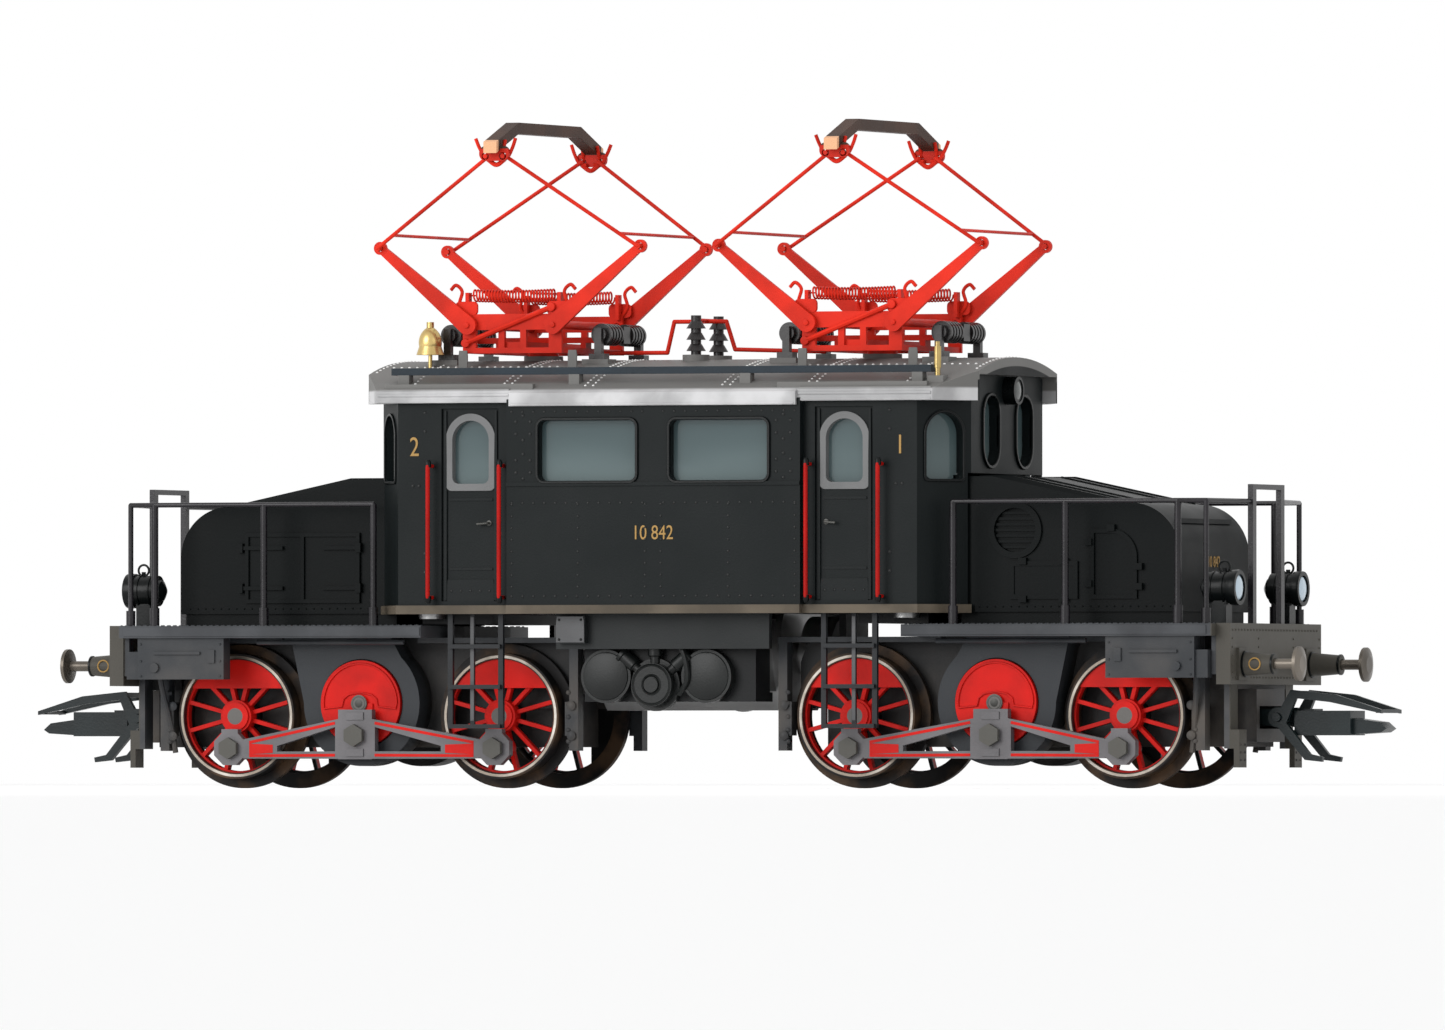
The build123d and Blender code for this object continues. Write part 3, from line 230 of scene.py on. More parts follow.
def frames_along(path):
    """Two unit normals at each point of a path, carried with the least turning."""
    tangents = np.gradient(path, axis=0)
    tangents /= np.linalg.norm(tangents, axis=1, keepdims=True) + 1e-12
    guide = np.array([0.0, 1.0, 0.0]) if abs(tangents[0][1]) < 0.9 else np.array([1.0, 0.0, 0.0])
    first = np.empty_like(path)
    for i, tangent in enumerate(tangents):
        guide = guide - tangent * (guide @ tangent)
        guide /= np.linalg.norm(guide) + 1e-12
        first[i] = guide
    return first, np.cross(tangents, first)


def tube(path, radius, sides=10):
    """A circle carried along a path: p + r (cos t n + sin t b), its ends closed to a point."""
    path = np.asarray(path, float)
    first, second = frames_along(path)
    angle = np.linspace(0, 2 * math.pi, sides, endpoint=False)
    ring = np.cos(angle)[None, :, None] * first[:, None] + np.sin(angle)[None, :, None] * second[:, None]
    radii = np.full(len(path), radius) if np.isscalar(radius) else np.asarray(radius, float)
    grid = path[:, None] + radii[:, None, None] * ring
    grid = np.concatenate([np.repeat(path[:1, None], sides, 1), grid, np.repeat(path[-1:, None], sides, 1)])
    return lattice(grid, wrap_v=True)


def lathe(profile, centre, axis, sides=32):
    """A profile of (radius, height) turned about an axis through a centre."""
    profile = np.asarray(profile, float)
    axis = np.asarray(axis, float)
    axis /= np.linalg.norm(axis)
    across = np.cross(axis, [0.0, 0.0, 1.0] if abs(axis[2]) < 0.9 else [0.0, 1.0, 0.0])
    across /= np.linalg.norm(across)
    other = np.cross(axis, across)
    angle = np.linspace(0, 2 * math.pi, sides, endpoint=False)
    ring = np.cos(angle)[:, None] * across + np.sin(angle)[:, None] * other
    grid = (np.asarray(centre, float) + profile[:, None, 1:2] * axis + profile[:, None, 0:1] * ring[None])
    return lattice(grid, wrap_v=True)


def rim(outline, normal, width, height):
    """A square-edged band, width wide and height proud, along a closed outline."""
    outline = np.asarray(outline, float)
    along = np.roll(outline, -1, 0) - np.roll(outline, 1, 0)
    along /= np.linalg.norm(along, axis=1, keepdims=True)
    outward = np.cross(along, normal)
    lift = np.asarray(normal, float) * height
    bevel = outward * width * 0.18
    rings = [outline - lift * 0.5, outline + lift * 0.7, outline + lift + bevel,
             outline + outward * width + lift - bevel, outline + outward * width + lift * 0.7,
             outline + outward * width - lift * 0.5]
    return lattice(np.stack(rings, axis=1), wrap_u=True, wrap_v=True)


def rounded(width, height, radius, steps=6, arch=False):
    """Points round a rectangle with rounded corners, or with a half-round head, anticlockwise."""
    tops = width / 2 - 1e-3 if arch else radius
    points = []
    for centre_x, centre_y, corner_r, start in (
            (width / 2 - radius, -height / 2 + radius, radius, -90), (width / 2 - tops, height / 2 - tops, tops, 0),
            (-width / 2 + tops, height / 2 - tops, tops, 90), (-width / 2 + radius, -height / 2 + radius, radius, 180)):
        angle = np.radians(np.linspace(start, start + 90, steps * (2 if arch and start in (0, 90) else 1)))
        points.append(np.stack([centre_x + corner_r * np.cos(angle), centre_y + corner_r * np.sin(angle)], -1))
    return np.concatenate(points)


def onto(points, origin, right, up):
    """Flat points laid on a plane through an origin."""
    return np.asarray(origin, float) + points[:, :1] * np.asarray(right, float) + points[:, 1:] * np.asarray(up, float)


def slab(outline, normal, height, bevel=0.06):
    """A flat plate with a bevelled top edge, rising from a closed outline."""
    outline = np.asarray(outline, float)
    centre = outline.mean(0)
    lift = np.asarray(normal, float) * height
    span = np.linalg.norm(outline - centre, axis=1, keepdims=True)
    inner = centre + (outline - centre) * (1 - bevel / np.maximum(span, bevel))
    grid = np.stack([outline, outline + lift * 0.75, inner + lift])
    points, quads = lattice(grid, wrap_v=True)
    count = len(outline)
    caps = [list(range(2 * count, 3 * count)), list(range(count))[::-1]]
    return points, [*quads.tolist(), *caps]


def plate(x0, x1, y0, y1, z0, z1, bevel=0.06):
    """A box with bevelled edges, as a slab on its lowest face."""
    outline = np.array([[x0, y0, z0], [x1, y0, z0], [x1, y1, z0], [x0, y1, z0]], float)
    return slab(outline, (0, 0, 1), z1 - z0, bevel)


def domes(places, normals, radius, sides=8):
    """Round rivet heads: a half sphere of a few faces at each place, seated along its normal."""
    places = np.atleast_2d(np.asarray(places, float))
    normals = np.broadcast_to(np.asarray(normals, float), places.shape)
    helper = np.where(np.abs(normals[:, 2:3]) < 0.9, [[0.0, 0.0, 1.0]], [[1.0, 0.0, 0.0]])
    across = np.cross(normals, helper)
    across /= np.linalg.norm(across, axis=1, keepdims=True)
    other = np.cross(normals, across)
    angle = np.linspace(0, 2 * math.pi, sides, endpoint=False)
    points, quads = [], []
    for level, (ring_r, ring_h) in enumerate(((1.0, -0.3), (0.92, 0.25), (0.5, 0.62), (0.0, 0.72))):
        ring = np.cos(angle)[None, :, None] * across[:, None] + np.sin(angle)[None, :, None] * other[:, None]
        points.append(places[:, None] + radius * (ring_r * ring + ring_h * normals[:, None]))
    grid = np.stack(points, axis=1)
    for index in range(len(places)):
        quads.append(lattice(grid[index], wrap_v=True)[1] + index * 4 * sides)
    return grid.reshape(-1, 3), np.concatenate(quads)


def arc_path(points, steps=8):
    """A smooth path through given points: a Catmull-Rom curve."""
    p = np.asarray(points, float)
    p = np.concatenate([2 * p[:1] - p[1:2], p, 2 * p[-1:] - p[-2:-1]])
    t = np.linspace(0, 1, steps, endpoint=False)[:, None]
    out = [0.5 * (2 * b + (c - a) * t + (2 * a - 5 * b + 4 * c - d) * t ** 2 + (3 * b - a - 3 * c + d) * t ** 3)
           for a, b, c, d in zip(p[:-3], p[1:-2], p[2:-1], p[3:])]
    return np.concatenate([*out, p[-2:-1]])


def piece(name, shells, look, body, smooth=True):
    """Join shells into one mesh object in metres, give it its material and let it ride."""
    points, faces, start = [], [], 0
    for verts, quads in shells:
        points.append(np.asarray(verts) * MM)
        faces += [[index + start for index in face] for face in (quads if isinstance(quads, list) else quads.tolist())]
        start += len(verts)
    mesh = bpy.data.meshes.new(name)
    mesh.from_pydata(np.concatenate(points), [], faces)
    work = bmesh.new()
    work.from_mesh(mesh)
    bmesh.ops.remove_doubles(work, verts=work.verts, dist=2e-7)
    bmesh.ops.recalc_face_normals(work, faces=work.faces)
    work.to_mesh(mesh)
    work.free()
    mesh.polygons.foreach_set("use_smooth", [smooth] * len(mesh.polygons))
    if smooth:
        mesh.set_sharp_from_angle(angle=math.radians(38))
    obj = bpy.data.objects.new(name, mesh)
    bpy.context.scene.collection.objects.link(obj)
    mesh.materials.append(look)
    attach(obj, body)
    return obj


def turned(shells, end):
    """Shells drawn for the front truck, turned half a turn about Z for the rear one."""
    sign = np.array([end, end, 1.0])
    return [(np.asarray(points) * sign, faces) for points, faces in shells]


def finish_node(node, look):
    """Give a CAD node a material."""
    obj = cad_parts[node]
    obj.data.materials.clear()
    obj.data.materials.append(look)


# --- Materials ------------------------------------------------------------------------------

LOOKS = {}


def look_of(name):
    return LOOKS[name].material


def wheel_look(name, axle_x, axle_z, red, face_y):
    """Red spoked centre inside a worn steel tyre with a blackened, dusty flange, and grey pin heads."""
    look = Look(name, Specular_IOR_Level=0.1)
    x, y, z = look.axes()
    radius = (((x - axle_x * MM) ** 2.0) + ((z - axle_z * MM) ** 2.0)) ** 0.5
    outward = look.math("ABSOLUTE", y)
    clouds = look.noise(220, 4)
    tyre = look.step(radius, 0.00600, 0.00612)
    tread = look.step(outward, face_y * MM - 0.0001, face_y * MM - 0.00003)
    steel = look.mix(look.step(clouds, 0.4, 0.7), (0.20, 0.17, 0.14), (0.46, 0.43, 0.39))
    dark = look.mix(look.step(clouds, 0.42, 0.66), (0.012, 0.011, 0.011), (0.075, 0.045, 0.026))
    centre = look.mix(look.step(clouds, 0.3, 0.7), shade(red, 0.8), shade(red, 1.15))
    inside = 1 - look.step(outward, 0.0084, 0.0086)
    centre = look.mix(inside, centre, (0.012, 0.012, 0.012))
    pin = look.step(outward, 0.01072, 0.01076)
    centre = look.mix(pin, centre, (0.085, 0.083, 0.075))
    axle_end = (1 - look.step(radius, 0.00085, 0.0009)) * look.step(outward, 0.0099, 0.01)
    centre = look.mix(axle_end, centre, (0.11, 0.105, 0.10))
    bright = tread * look.step(radius, 0.00618, 0.00622) * (1 - look.step(radius, 0.00645, 0.00650))
    tone = look.mix(tyre, centre, look.mix(bright, dark, steel))
    metal = look.math("MAXIMUM", bright * 0.9, axle_end * 0.3)
    look.feed(Base_Color=tone, Metallic=metal, Roughness=0.36 + clouds * 0.15)
    look.bump(look.noise(4200, 2), 0.01)
    return look


def zoned(name, colour, other, axis, low, high, roughness, dust=0.0, shine=0.2):
    """Paint that changes colour where one coordinate, taken without its sign, passes a step."""
    look = paint(name, colour, roughness, dust=dust, shine=shine)
    along = look.math("ABSOLUTE", look.axes()[axis])
    base = look.shader.inputs["Base Color"].links[0].from_socket
    look.feed(Base_Color=look.mix(look.step(along, low * MM, high * MM), Value(look, base), other))
    return look


def roof_look(body):
    """Silver roof whose top above the eaves is painted darker as painted shade, and black end walls below a thin visor
    that follows the arch.
    """
    # The roof top above the eaves gets a dark grey instead of the silver: painted shade.
    look = zoned("roof_silver", (0.39, 0.39, 0.395), (0.135, 0.133, 0.128), 2, RAIL_Z + 41.2, RAIL_Z + 41.5, 0.5,
                 shine=0.12)
    x, y, z = look.axes()
    silver_and_painted_shade = Value(look, look.shader.inputs["Base Color"].links[0].from_socket)
    arch = (ROOF_R * ROOF_R * MM * MM - y * y) ** 0.5 + (ROOF_TOP - ROOF_R) * MM
    depth = arch - z
    end_x = corners("cab_roof")[1][0] * MM
    wall = look.step(look.math("ABSOLUTE", x), end_x - 0.00012, end_x - 0.00006) * look.step(depth, 0.0009, 0.00095)
    look.feed(Base_Color=look.mix(wall, silver_and_painted_shade, shade(body, 0.4)))
    return look


def head_look():
    """Collector bow: brown carbon, copper horn tips and red brackets below the horns."""
    look = paint("collector_brown", (0.052, 0.028, 0.020), 0.5, shine=0.1)
    _, y, z = look.axes()
    outward = look.math("ABSOLUTE", y)
    brown = Value(look, look.shader.inputs["Base Color"].links[0].from_socket)
    tip = look.step(outward, 0.01440, 0.01445)
    bracket = look.step(outward, 0.01335, 0.01338) * (1 - look.step(outward, 0.01392, 0.01395))
    bracket = bracket * (1 - look.step(z, (RAIL_Z + 67.05) * MM, (RAIL_Z + 67.15) * MM))
    tone = look.mix(tip, brown, (0.62, 0.34, 0.19))
    look.feed(Base_Color=look.mix(bracket, tone, (0.42, 0.016, 0.007)))
    return look


def make_looks(settings):
    """Every finish of the model, by its plain name."""
    body = tuple(settings.body_colour)
    red = tuple(settings.signal_red)
    grey = (0.027, 0.030, 0.034)
    orange = (0.50, 0.020, 0.009)
    LOOKS["body"] = zoned("body_black", (0.085, 0.070, 0.052), body, 2, RAIL_Z + 18.42, RAIL_Z + 18.5, 0.45,
                           shine=0.11)
    LOOKS["panel"] = paint("panel_black", body, 0.42, grain=0.010, cloud=0.10, shine=0.12)
    LOOKS["trim"] = paint("gloss_trim", shade(body, 0.5), 0.30, cloud=0.15, shine=0.16)
    # The hood takes half the cab's colour: painted shade, so the hood and its nose come out darker than the cab.
    LOOKS["hood"] = paint("hood_black_painted_shade", shade(body, 0.5), 0.42, grain=0.010, cloud=0.14, shine=0.07)
    LOOKS["rail"] = paint("railing_black", (0.009, 0.008, 0.010), 0.27, cloud=0.3, shine=0.3)
    LOOKS["roof"] = roof_look(body)
    LOOKS["rivet"] = paint("bright_rivet", (0.62, 0.62, 0.61), 0.35, cloud=0.1, shine=0.5)
    LOOKS["dark_rivet"] = paint("dark_rivet", shade(body, 0.5), 0.35, cloud=0.1, shine=0.4)
    LOOKS["frame_grey"] = paint("warm_grey_frame", (0.122, 0.124, 0.125), 0.45, cloud=0.08)
    LOOKS["grey"] = paint("underframe_grey", grey, 0.48, dust=0.4, cloud=0.2)
    LOOKS["chassis"] = zoned("chassis_grey", (0.004, 0.0045, 0.005), (0.011, 0.013, 0.0135), 1, 12.3, 12.4, 0.5)
    LOOKS["junction"] = paint("junction_grey", (0.078, 0.079, 0.082), 0.45, cloud=0.12)
    LOOKS["tank"] = paint("tank_black", (0.006, 0.0072, 0.0070), 0.36, cloud=0.3, shine=0.25)
    LOOKS["dark_lens"] = paint("dark_lens", (0.012, 0.020, 0.018), 0.12, cloud=0.1, grain=0.002, shine=0.8)
    LOOKS["ladder"] = paint("ladder_grey", (0.011, 0.0125, 0.0145), 0.4, cloud=0.2, shine=0.2)
    LOOKS["truck"] = zoned("truck_frame_grey", (0.022, 0.022, 0.023), grey, 1, 7.6, 7.8, 0.5, dust=0.25)
    LOOKS["deck"] = zoned("deck_grey", (0.040, 0.043, 0.048), (0.052, 0.048, 0.040), 0, 62.4, 62.6, 0.5, dust=0.2)
    LOOKS["red"] = paint("signal_red", red, 0.34, cloud=0.12, shine=0.1)
    LOOKS["handrail"] = paint("handrail_red", shade(red, 0.62), 0.36, cloud=0.12, shine=0.1)
    LOOKS["pantograph"] = paint("pantograph_red", orange, 0.42, cloud=0.2, grain=0.014, shine=0.07)
    LOOKS["walkboard"] = paint("walkboard_blue", (0.011, 0.019, 0.027), 0.5, cloud=0.2, grain=0.03)
    LOOKS["insulator"] = paint("insulator_brown", (0.016, 0.014, 0.014), 0.36, cloud=0.35, shine=0.4)
    LOOKS["rod"] = paint("rod_grey", (0.095, 0.09, 0.096), 0.42, cloud=0.2, shine=0.4)
    LOOKS["bolt"] = paint("bolt_grey", (0.07, 0.07, 0.065), 0.4, metallic=0.4, cloud=0.35)
    LOOKS["coupler"] = paint("coupler_green", (0.007, 0.0115, 0.0125), 0.32, cloud=0.25, shine=0.2)
    LOOKS["buffer"] = paint("gunmetal", (0.12, 0.105, 0.088), 0.36, metallic=0.7, cloud=0.35)
    LOOKS["brass"] = paint("bright_brass", (0.50, 0.37, 0.15), 0.3, metallic=0.95, cloud=0.25, grain=0.006)
    LOOKS["gold"] = paint("gold_numbers", (0.30, 0.18, 0.055), 0.5, cloud=0.08)
    LOOKS["motor"] = paint("motor_steel", (0.3, 0.3, 0.3), 0.35, metallic=0.9, cloud=0.15)
    LOOKS["board"] = paint("board_green", (0.012, 0.07, 0.03), 0.4, cloud=0.15)
    LOOKS["lens"] = paint("lamp_lens", (0.42, 0.52, 0.60), 0.16, cloud=0.12, grain=0.002, shine=0.7)
    LOOKS["collector"] = head_look()
    glass = Look("tinted_glazing", Roughness=0.07, Specular_IOR_Level=0.35)
    # The glazing is lighter towards the bottom and darker towards the top: painted reflection. Darker streaks from
    # noise lie over it.
    low = glass.step(glass.axes()[2], (RAIL_Z + 31.5) * MM, (RAIL_Z + 38) * MM)
    dark_streaks = glass.noise(90, 3, (0.25, 0.25, 1.0))
    tint_and_painted_reflection = glass.mix(low, (0.092, 0.125, 0.128), (0.052, 0.078, 0.082))
    glass.feed(Base_Color=glass.mix(glass.step(dark_streaks, 0.4, 0.7) * 0.5, tint_and_painted_reflection, (0.035, 0.055, 0.06)))
    LOOKS["glass"] = glass
    for name, end in ENDS:
        for wheel, axle_x in (("outer", OUTER_X), ("inner", INNER_X)):
            LOOKS[f"{name}_{wheel}"] = wheel_look(f"{name}_{wheel}_wheel", end * axle_x, AXLE_Z, red, 9.9)
        jack = wheel_look(f"{name}_jackshaft_red", end * JACK_X, JACK_Z, red, 9.9)
        LOOKS[f"{name}_jack"] = jack


NODE_LOOKS = {
    "chassis_frame": "chassis", "cab_shell": "body", "cab_roof": "roof", "window_glazing": "glass",
    "door_window_frames": "frame_grey", "door_handrails": "handrail", "entry_ladders": "ladder",
    "roof_walkboards": "walkboard", "bell_and_whistle": "brass", "roof_insulators": "insulator",
    "roof_busbar": "pantograph", "upper_headlamps": "trim", "motor": "motor", "motor_shaft": "motor",
    "circuit_board": "board", "body_screws": "motor", "compressor_and_tanks": "tank",
}
END_LOOKS = {
    "truck_frame": "truck", "deck": "deck", "hood": "hood", "railings": "rail", "deck_headlamps": "trim",
    "brakes_and_boxes": "grey", "right_rod": "rod", "left_rod": "rod", "coupler": "coupler",
    "coupler_loop": "coupler", "buffer_left": "buffer", "buffer_right": "buffer",
    "pantograph_base": "pantograph", "pantograph_head": "collector", "back_lower_arm": "pantograph",
    "back_upper_arm": "pantograph", "fore_lower_arm": "pantograph", "fore_upper_arm": "pantograph",
}


class LocomotiveSettings(bpy.types.PropertyGroup):
    """Colours and sizes that a user may change."""

    body_colour: FloatVectorProperty(name="Body", description="Colour of the cab", subtype="COLOR",
                                     size=3, min=0, max=1, default=(0.0046, 0.0066, 0.0069))
    signal_red: FloatVectorProperty(name="Red", description="Colour of wheels and handrails", subtype="COLOR",
                                    size=3, min=0, max=1, default=(0.50, 0.0085, 0.0055))
    rivet_size: FloatProperty(name="Rivets", description="Radius of a body rivet in millimetres",
                              min=0.05, max=0.4, default=0.19)
    key_light: FloatProperty(name="Key light", description="Power of the main lamp", subtype="POWER",
                             min=0, default=3.0)


def settings():
    return bpy.context.scene.locomotive_settings


class LOCO_OT_finishes(bpy.types.Operator):
    """Give every CAD piece its procedural material"""

    bl_idname = "loco.finishes"
    bl_label = "Finishes"

    def execute(self, context):
        make_looks(settings())
        for node, name in NODE_LOOKS.items():
            finish_node(node, look_of(name))
        for end, _ in ENDS:
            for node, name in END_LOOKS.items():
                finish_node(f"{end}_{node}", look_of(name))
            finish_node(f"{end}_outer_wheelset", look_of(f"{end}_outer"))
            finish_node(f"{end}_inner_wheelset", look_of(f"{end}_inner"))
            finish_node(f"{end}_jackshaft", look_of(f"{end}_jack"))
        return {"FINISHED"}


# --- Cab ------------------------------------------------------------------------------------

def facet(end, side):
    """Origin, right and normal of a cut-off cab corner."""
    normal = np.array([end * 5.5, side * 4.0, 0.0]) / math.hypot(5.5, 4.0)
    right = np.cross([0.0, 0.0, 1.0], normal)
    return np.array([end * 31.7, side * 13.15, 0.0]), right, normal


class LOCO_OT_window_rims(bpy.types.Operator):
    """Raised black rims round the side, corner and end windows"""

    bl_idname = "loco.window_rims"
    bl_label = "Window rims"

    def execute(self, context):
        shells = []
        up = np.array([0.0, 0.0, 1.0])
        for _, end in ENDS:
            for side in SIDES:
                normal = np.array([0.0, side, 0.0])
                right = np.cross(up, normal)
                window = onto(rounded(11.1, 6.4, 0.7), (end * 7.54, side * MID_Y, RAIL_Z + 34.85), right, up)
                shells.append(rim(window, normal, 0.34, 0.26))
                origin, right, normal = facet(end, side)
                window = onto(rounded(4.55, 7.0, 0.25, arch=True), origin + up * (RAIL_Z + 35.2), right, up)
                shells.append(rim(window, normal, 0.3, 0.2))
                normal = np.array([end, 0.0, 0.0])
                right = np.cross(up, normal)
                window = onto(rounded(4.4, 7.4, 2.1), (end * CAB_FRONT_X, side * 4.8, RAIL_Z + 36.9), right, up)
                shells.append(rim(window, normal, 0.35, 0.25))
        piece("window_rims", shells, look_of("trim"), "locomotive")
        return {"FINISHED"}


class LOCO_OT_doors(bpy.types.Operator):
    """Door leaves: edge mouldings, plinths, handles and rubbing strips"""

    bl_idname = "loco.doors"
    bl_label = "Doors"

    def execute(self, context):
        shells, handles, clips = [], [], []
        for _, end in ENDS:
            for side in SIDES:
                face = side * 15.6
                for edge in (-2.9, 2.9):
                    x = end * DOOR_X + edge
                    shells.append(plate(x - 0.16, x + 0.16, face - 0.05, face + side * 0.22, RAIL_Z + 19.0, RAIL_Z + 39.2))
                low, high = RAIL_Z + 18.9, RAIL_Z + 21.2
                shells.append(plate(end * DOOR_X - 2.7, end * DOOR_X + 2.7, face, face + side * 0.18, low, high))
                for level in (22.2, 29.6):
                    shells.append(plate(end * DOOR_X - 2.5, end * DOOR_X + 2.5, face, face + side * 0.12,
                                        RAIL_Z + level, RAIL_Z + level + 0.25))
                for rail_x in (25.75, 17.55):
                    for z, way in ((33.15, 1), (19.45, -1)):
                        clips.append(lathe([(0, 0), (0.34, 0), (0.34, 0.55), (0.2, 0.8), (0, 0.8)],
                                           (end * rail_x, side * 17.07, RAIL_Z + z), (0, 0, way), 12))
                handle_x = end * DOOR_X - end * 2.1
                handles.append(tube(arc_path([(handle_x, face, RAIL_Z + 27.2), (handle_x, face + side * 0.55, RAIL_Z + 27.2),
                                              (handle_x + end * 0.5, face + side * 0.6, RAIL_Z + 27.15),
                                              (handle_x + end * 1.2, face + side * 0.6, RAIL_Z + 27.1)]), 0.13))
                handles.append(lathe([(0, 0), (0.3, 0), (0.3, 0.12), (0.1, 0.16), (0, 0.16)],
                                     (handle_x, face, RAIL_Z + 27.2), (0, side, 0), 16))
        piece("door_mouldings", shells, look_of("panel"), "locomotive", smooth=False)
        piece("handrail_clips", clips, look_of("trim"), "locomotive")
        piece("door_handles", handles, look_of("bolt"), "locomotive")
        return {"FINISHED"}


class LOCO_OT_cab_rivets(bpy.types.Operator):
    """Rivet rows and clusters on the cab sides, corners and ends"""

    bl_idname = "loco.cab_rivets"
    bl_label = "Cab rivets"

    def execute(self, context):
        shells = []
        radius = settings().rivet_size
        ring = np.radians(np.arange(6) * 60 + 30)
        for _, end in ENDS:
            for side in SIDES:
                wall = (0.0, side, 0.0)
                for x, z in ((14.9, 37.3), (14.9, 33.2)):
                    spots = np.stack([end * x + np.cos(ring) * 0.95, np.full(6, side * MID_Y),
                                      RAIL_Z + z + np.sin(ring) * 1.3], -1)
                    shells.append(domes(spots, wall, radius))
                rows = np.arange(1.2, 16.4, 1.25)
                for z in (19.4, 29.3, 39.0):
                    spots = np.stack([end * rows, np.full(len(rows), side * MID_Y), np.full(len(rows), RAIL_Z + z)], -1)
                    shells.append(domes(spots, wall, radius * 0.8))
                levels = np.arange(20.4, 29.2, 1.25)
                for x in (0.9, 8.6, 16.2):
                    spots = np.stack([np.full(len(levels), end * x), np.full(len(levels), side * MID_Y), RAIL_Z + levels], -1)
                    shells.append(domes(spots, wall, radius * 0.8))
                for x, z in ((26.6, 39.0), (26.6, 37.0), (27.3, 31.2), (28.0, 31.2), (26.6, 22.0), (26.6, 24.0)):
                    shells.append(domes([(end * x, side * CAB_SIDE_Y, RAIL_Z + z)], wall, radius))
                for x in np.arange(-2.2, 2.3, 1.1):
                    shells.append(domes([(end * DOOR_X + x, side * 15.78, RAIL_Z + 20.0)], wall, radius * 0.8))
        piece("cab_rivets", shells, look_of("dark_rivet"), "locomotive")
        return {"FINISHED"}


class LOCO_OT_numbers(bpy.types.Operator):
    """Plain gold numbers on the cab sides and hood noses"""

    bl_idname = "loco.numbers"
    bl_label = "Numbers"

    def number(self, name, words, height, origin, right, body):
        """A number as thin solid letters, laid on a wall."""
        curve = bpy.data.curves.new(name, "FONT")
        curve.body = words
        curve.size = height * 1.38
        curve.align_x = "CENTER"
        curve.align_y = "CENTER"
        curve.extrude = 0.03
        holder = bpy.data.objects.new(name + "_text", curve)
        bpy.context.scene.collection.objects.link(holder)
        bpy.context.view_layer.update()
        mesh = bpy.data.meshes.new_from_object(holder)
        bpy.data.objects.remove(holder)
        count = len(mesh.vertices)
        flat = np.empty(count * 3)
        mesh.vertices.foreach_get("co", flat)
        flat = flat.reshape(-1, 3)
        normal = np.cross(right, (0.0, 0.0, 1.0))
        placed = np.asarray(origin) + flat[:, :1] * right * 0.8 + flat[:, 1:2] * (0.0, 0.0, 1.0) + flat[:, 2:] * normal
        mesh.vertices.foreach_set("co", (placed * MM).ravel())
        mesh.name = name
        mesh.materials.clear()
        mesh.materials.append(look_of("gold"))
        obj = bpy.data.objects.new(name, mesh)
        bpy.context.scene.collection.objects.link(obj)
        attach(obj, body)

    def execute(self, context):
        for side_name, side in (("right", -1), ("left", 1)):
            right = np.array([-side * 1.0, 0.0, 0.0])
            for mark, x in (("2", -27.8), ("1", 27.8)):
                self.number(f"end_number_{side_name}_{mark}", mark, 2.1, (x, side * (CAB_SIDE_Y + 0.03), RAIL_Z + 35.25),
                            right, "locomotive")
            self.number(f"side_number_{side_name}", "10 842", 1.55, (0.0, side * (MID_Y + 0.03), RAIL_Z + 26.05),
                        right, "locomotive")
        for name, end in ENDS:
            self.number(f"{name}_nose_number", "10 842", 1.2, (end * (57.3 + 0.03), end * -0.4, RAIL_Z + 22.9),
                        np.array([0.0, end * 1.0, 0.0]), f"{name}_truck")
        return {"FINISHED"}


# --- Roof -----------------------------------------------------------------------------------

class LOCO_OT_roof_details(bpy.types.Operator):
    """Bright rivet rows, stay brackets and gutter beads on the roof"""

    bl_idname = "loco.roof_details"
    bl_label = "Roof details"

    def execute(self, context):
        rivets, plates = [], []
        across = np.arange(-15.5, 15.6, 0.78)
        across = across[np.abs(across) > 1.2]
        for x in (-28.2, -17.9, -17.0, -8.3, -7.4, 7.4, 8.3, 17.0, 17.9, 28.2):
            spots = np.stack([np.full(len(across), x), across, roof_height(across)], -1)
            normals = np.stack([0 * across, across, roof_height(across) - (ROOF_TOP - ROOF_R)], -1)
            normals /= np.linalg.norm(normals, axis=1, keepdims=True)
            rivets.append(domes(spots, normals, 0.15, 6))
        for _, end in ENDS:
            along = np.arange(14.5, 33.5, 0.9)
            for y in (-8.2, 8.2):
                spots = np.stack([end * along, np.full(len(along), y), np.full(len(along), float(roof_height(y)))], -1)
                rivets.append(domes(spots, (0, 0, 1), 0.16, 6))
            front = np.arange(-10.5, 10.6, 0.95)
            spots = np.stack([np.full(len(front), end * 34.4), front, roof_height(front)], -1)
            rivets.append(domes(spots, (0, 0, 1), 0.15, 6))
            for offset in (-5.4, 7.2):
                x = end * PANTO_X + offset
                for y in (-9.4, 9.4):
                    plates.append(plate(x - 0.5, x + 0.5, y - 0.12, y + 0.12, roof_height(y) - 0.3, RAIL_Z + 45.7))
                    plates.append(plate(x - 0.6, x + 0.6, y - 0.5, y + 0.5, roof_height(y) - 0.3, roof_height(y) + 0.2))
        for side in SIDES:
            bead = [(x, side * 17.27, RAIL_Z + 39.75) for x in np.linspace(-16.2, 16.2, 12)]
            plates.append(tube(bead, 0.14, 8))
            for _, end in ENDS:
                for z, y in ((40.15, 16.72), (40.8, 16.82), (41.35, 16.6)):
                    bead = [(end * x, side * y, RAIL_Z + z) for x in np.linspace(16.6, 31.6, 8)]
                    plates.append(tube(bead, 0.16, 8))
        piece("roof_rivets", rivets, look_of("rivet"), "locomotive")
        piece("roof_mouldings", plates, look_of("roof"), "locomotive", smooth=False)
        return {"FINISHED"}


# --- Pantographs ----------------------------------------------------------------------------

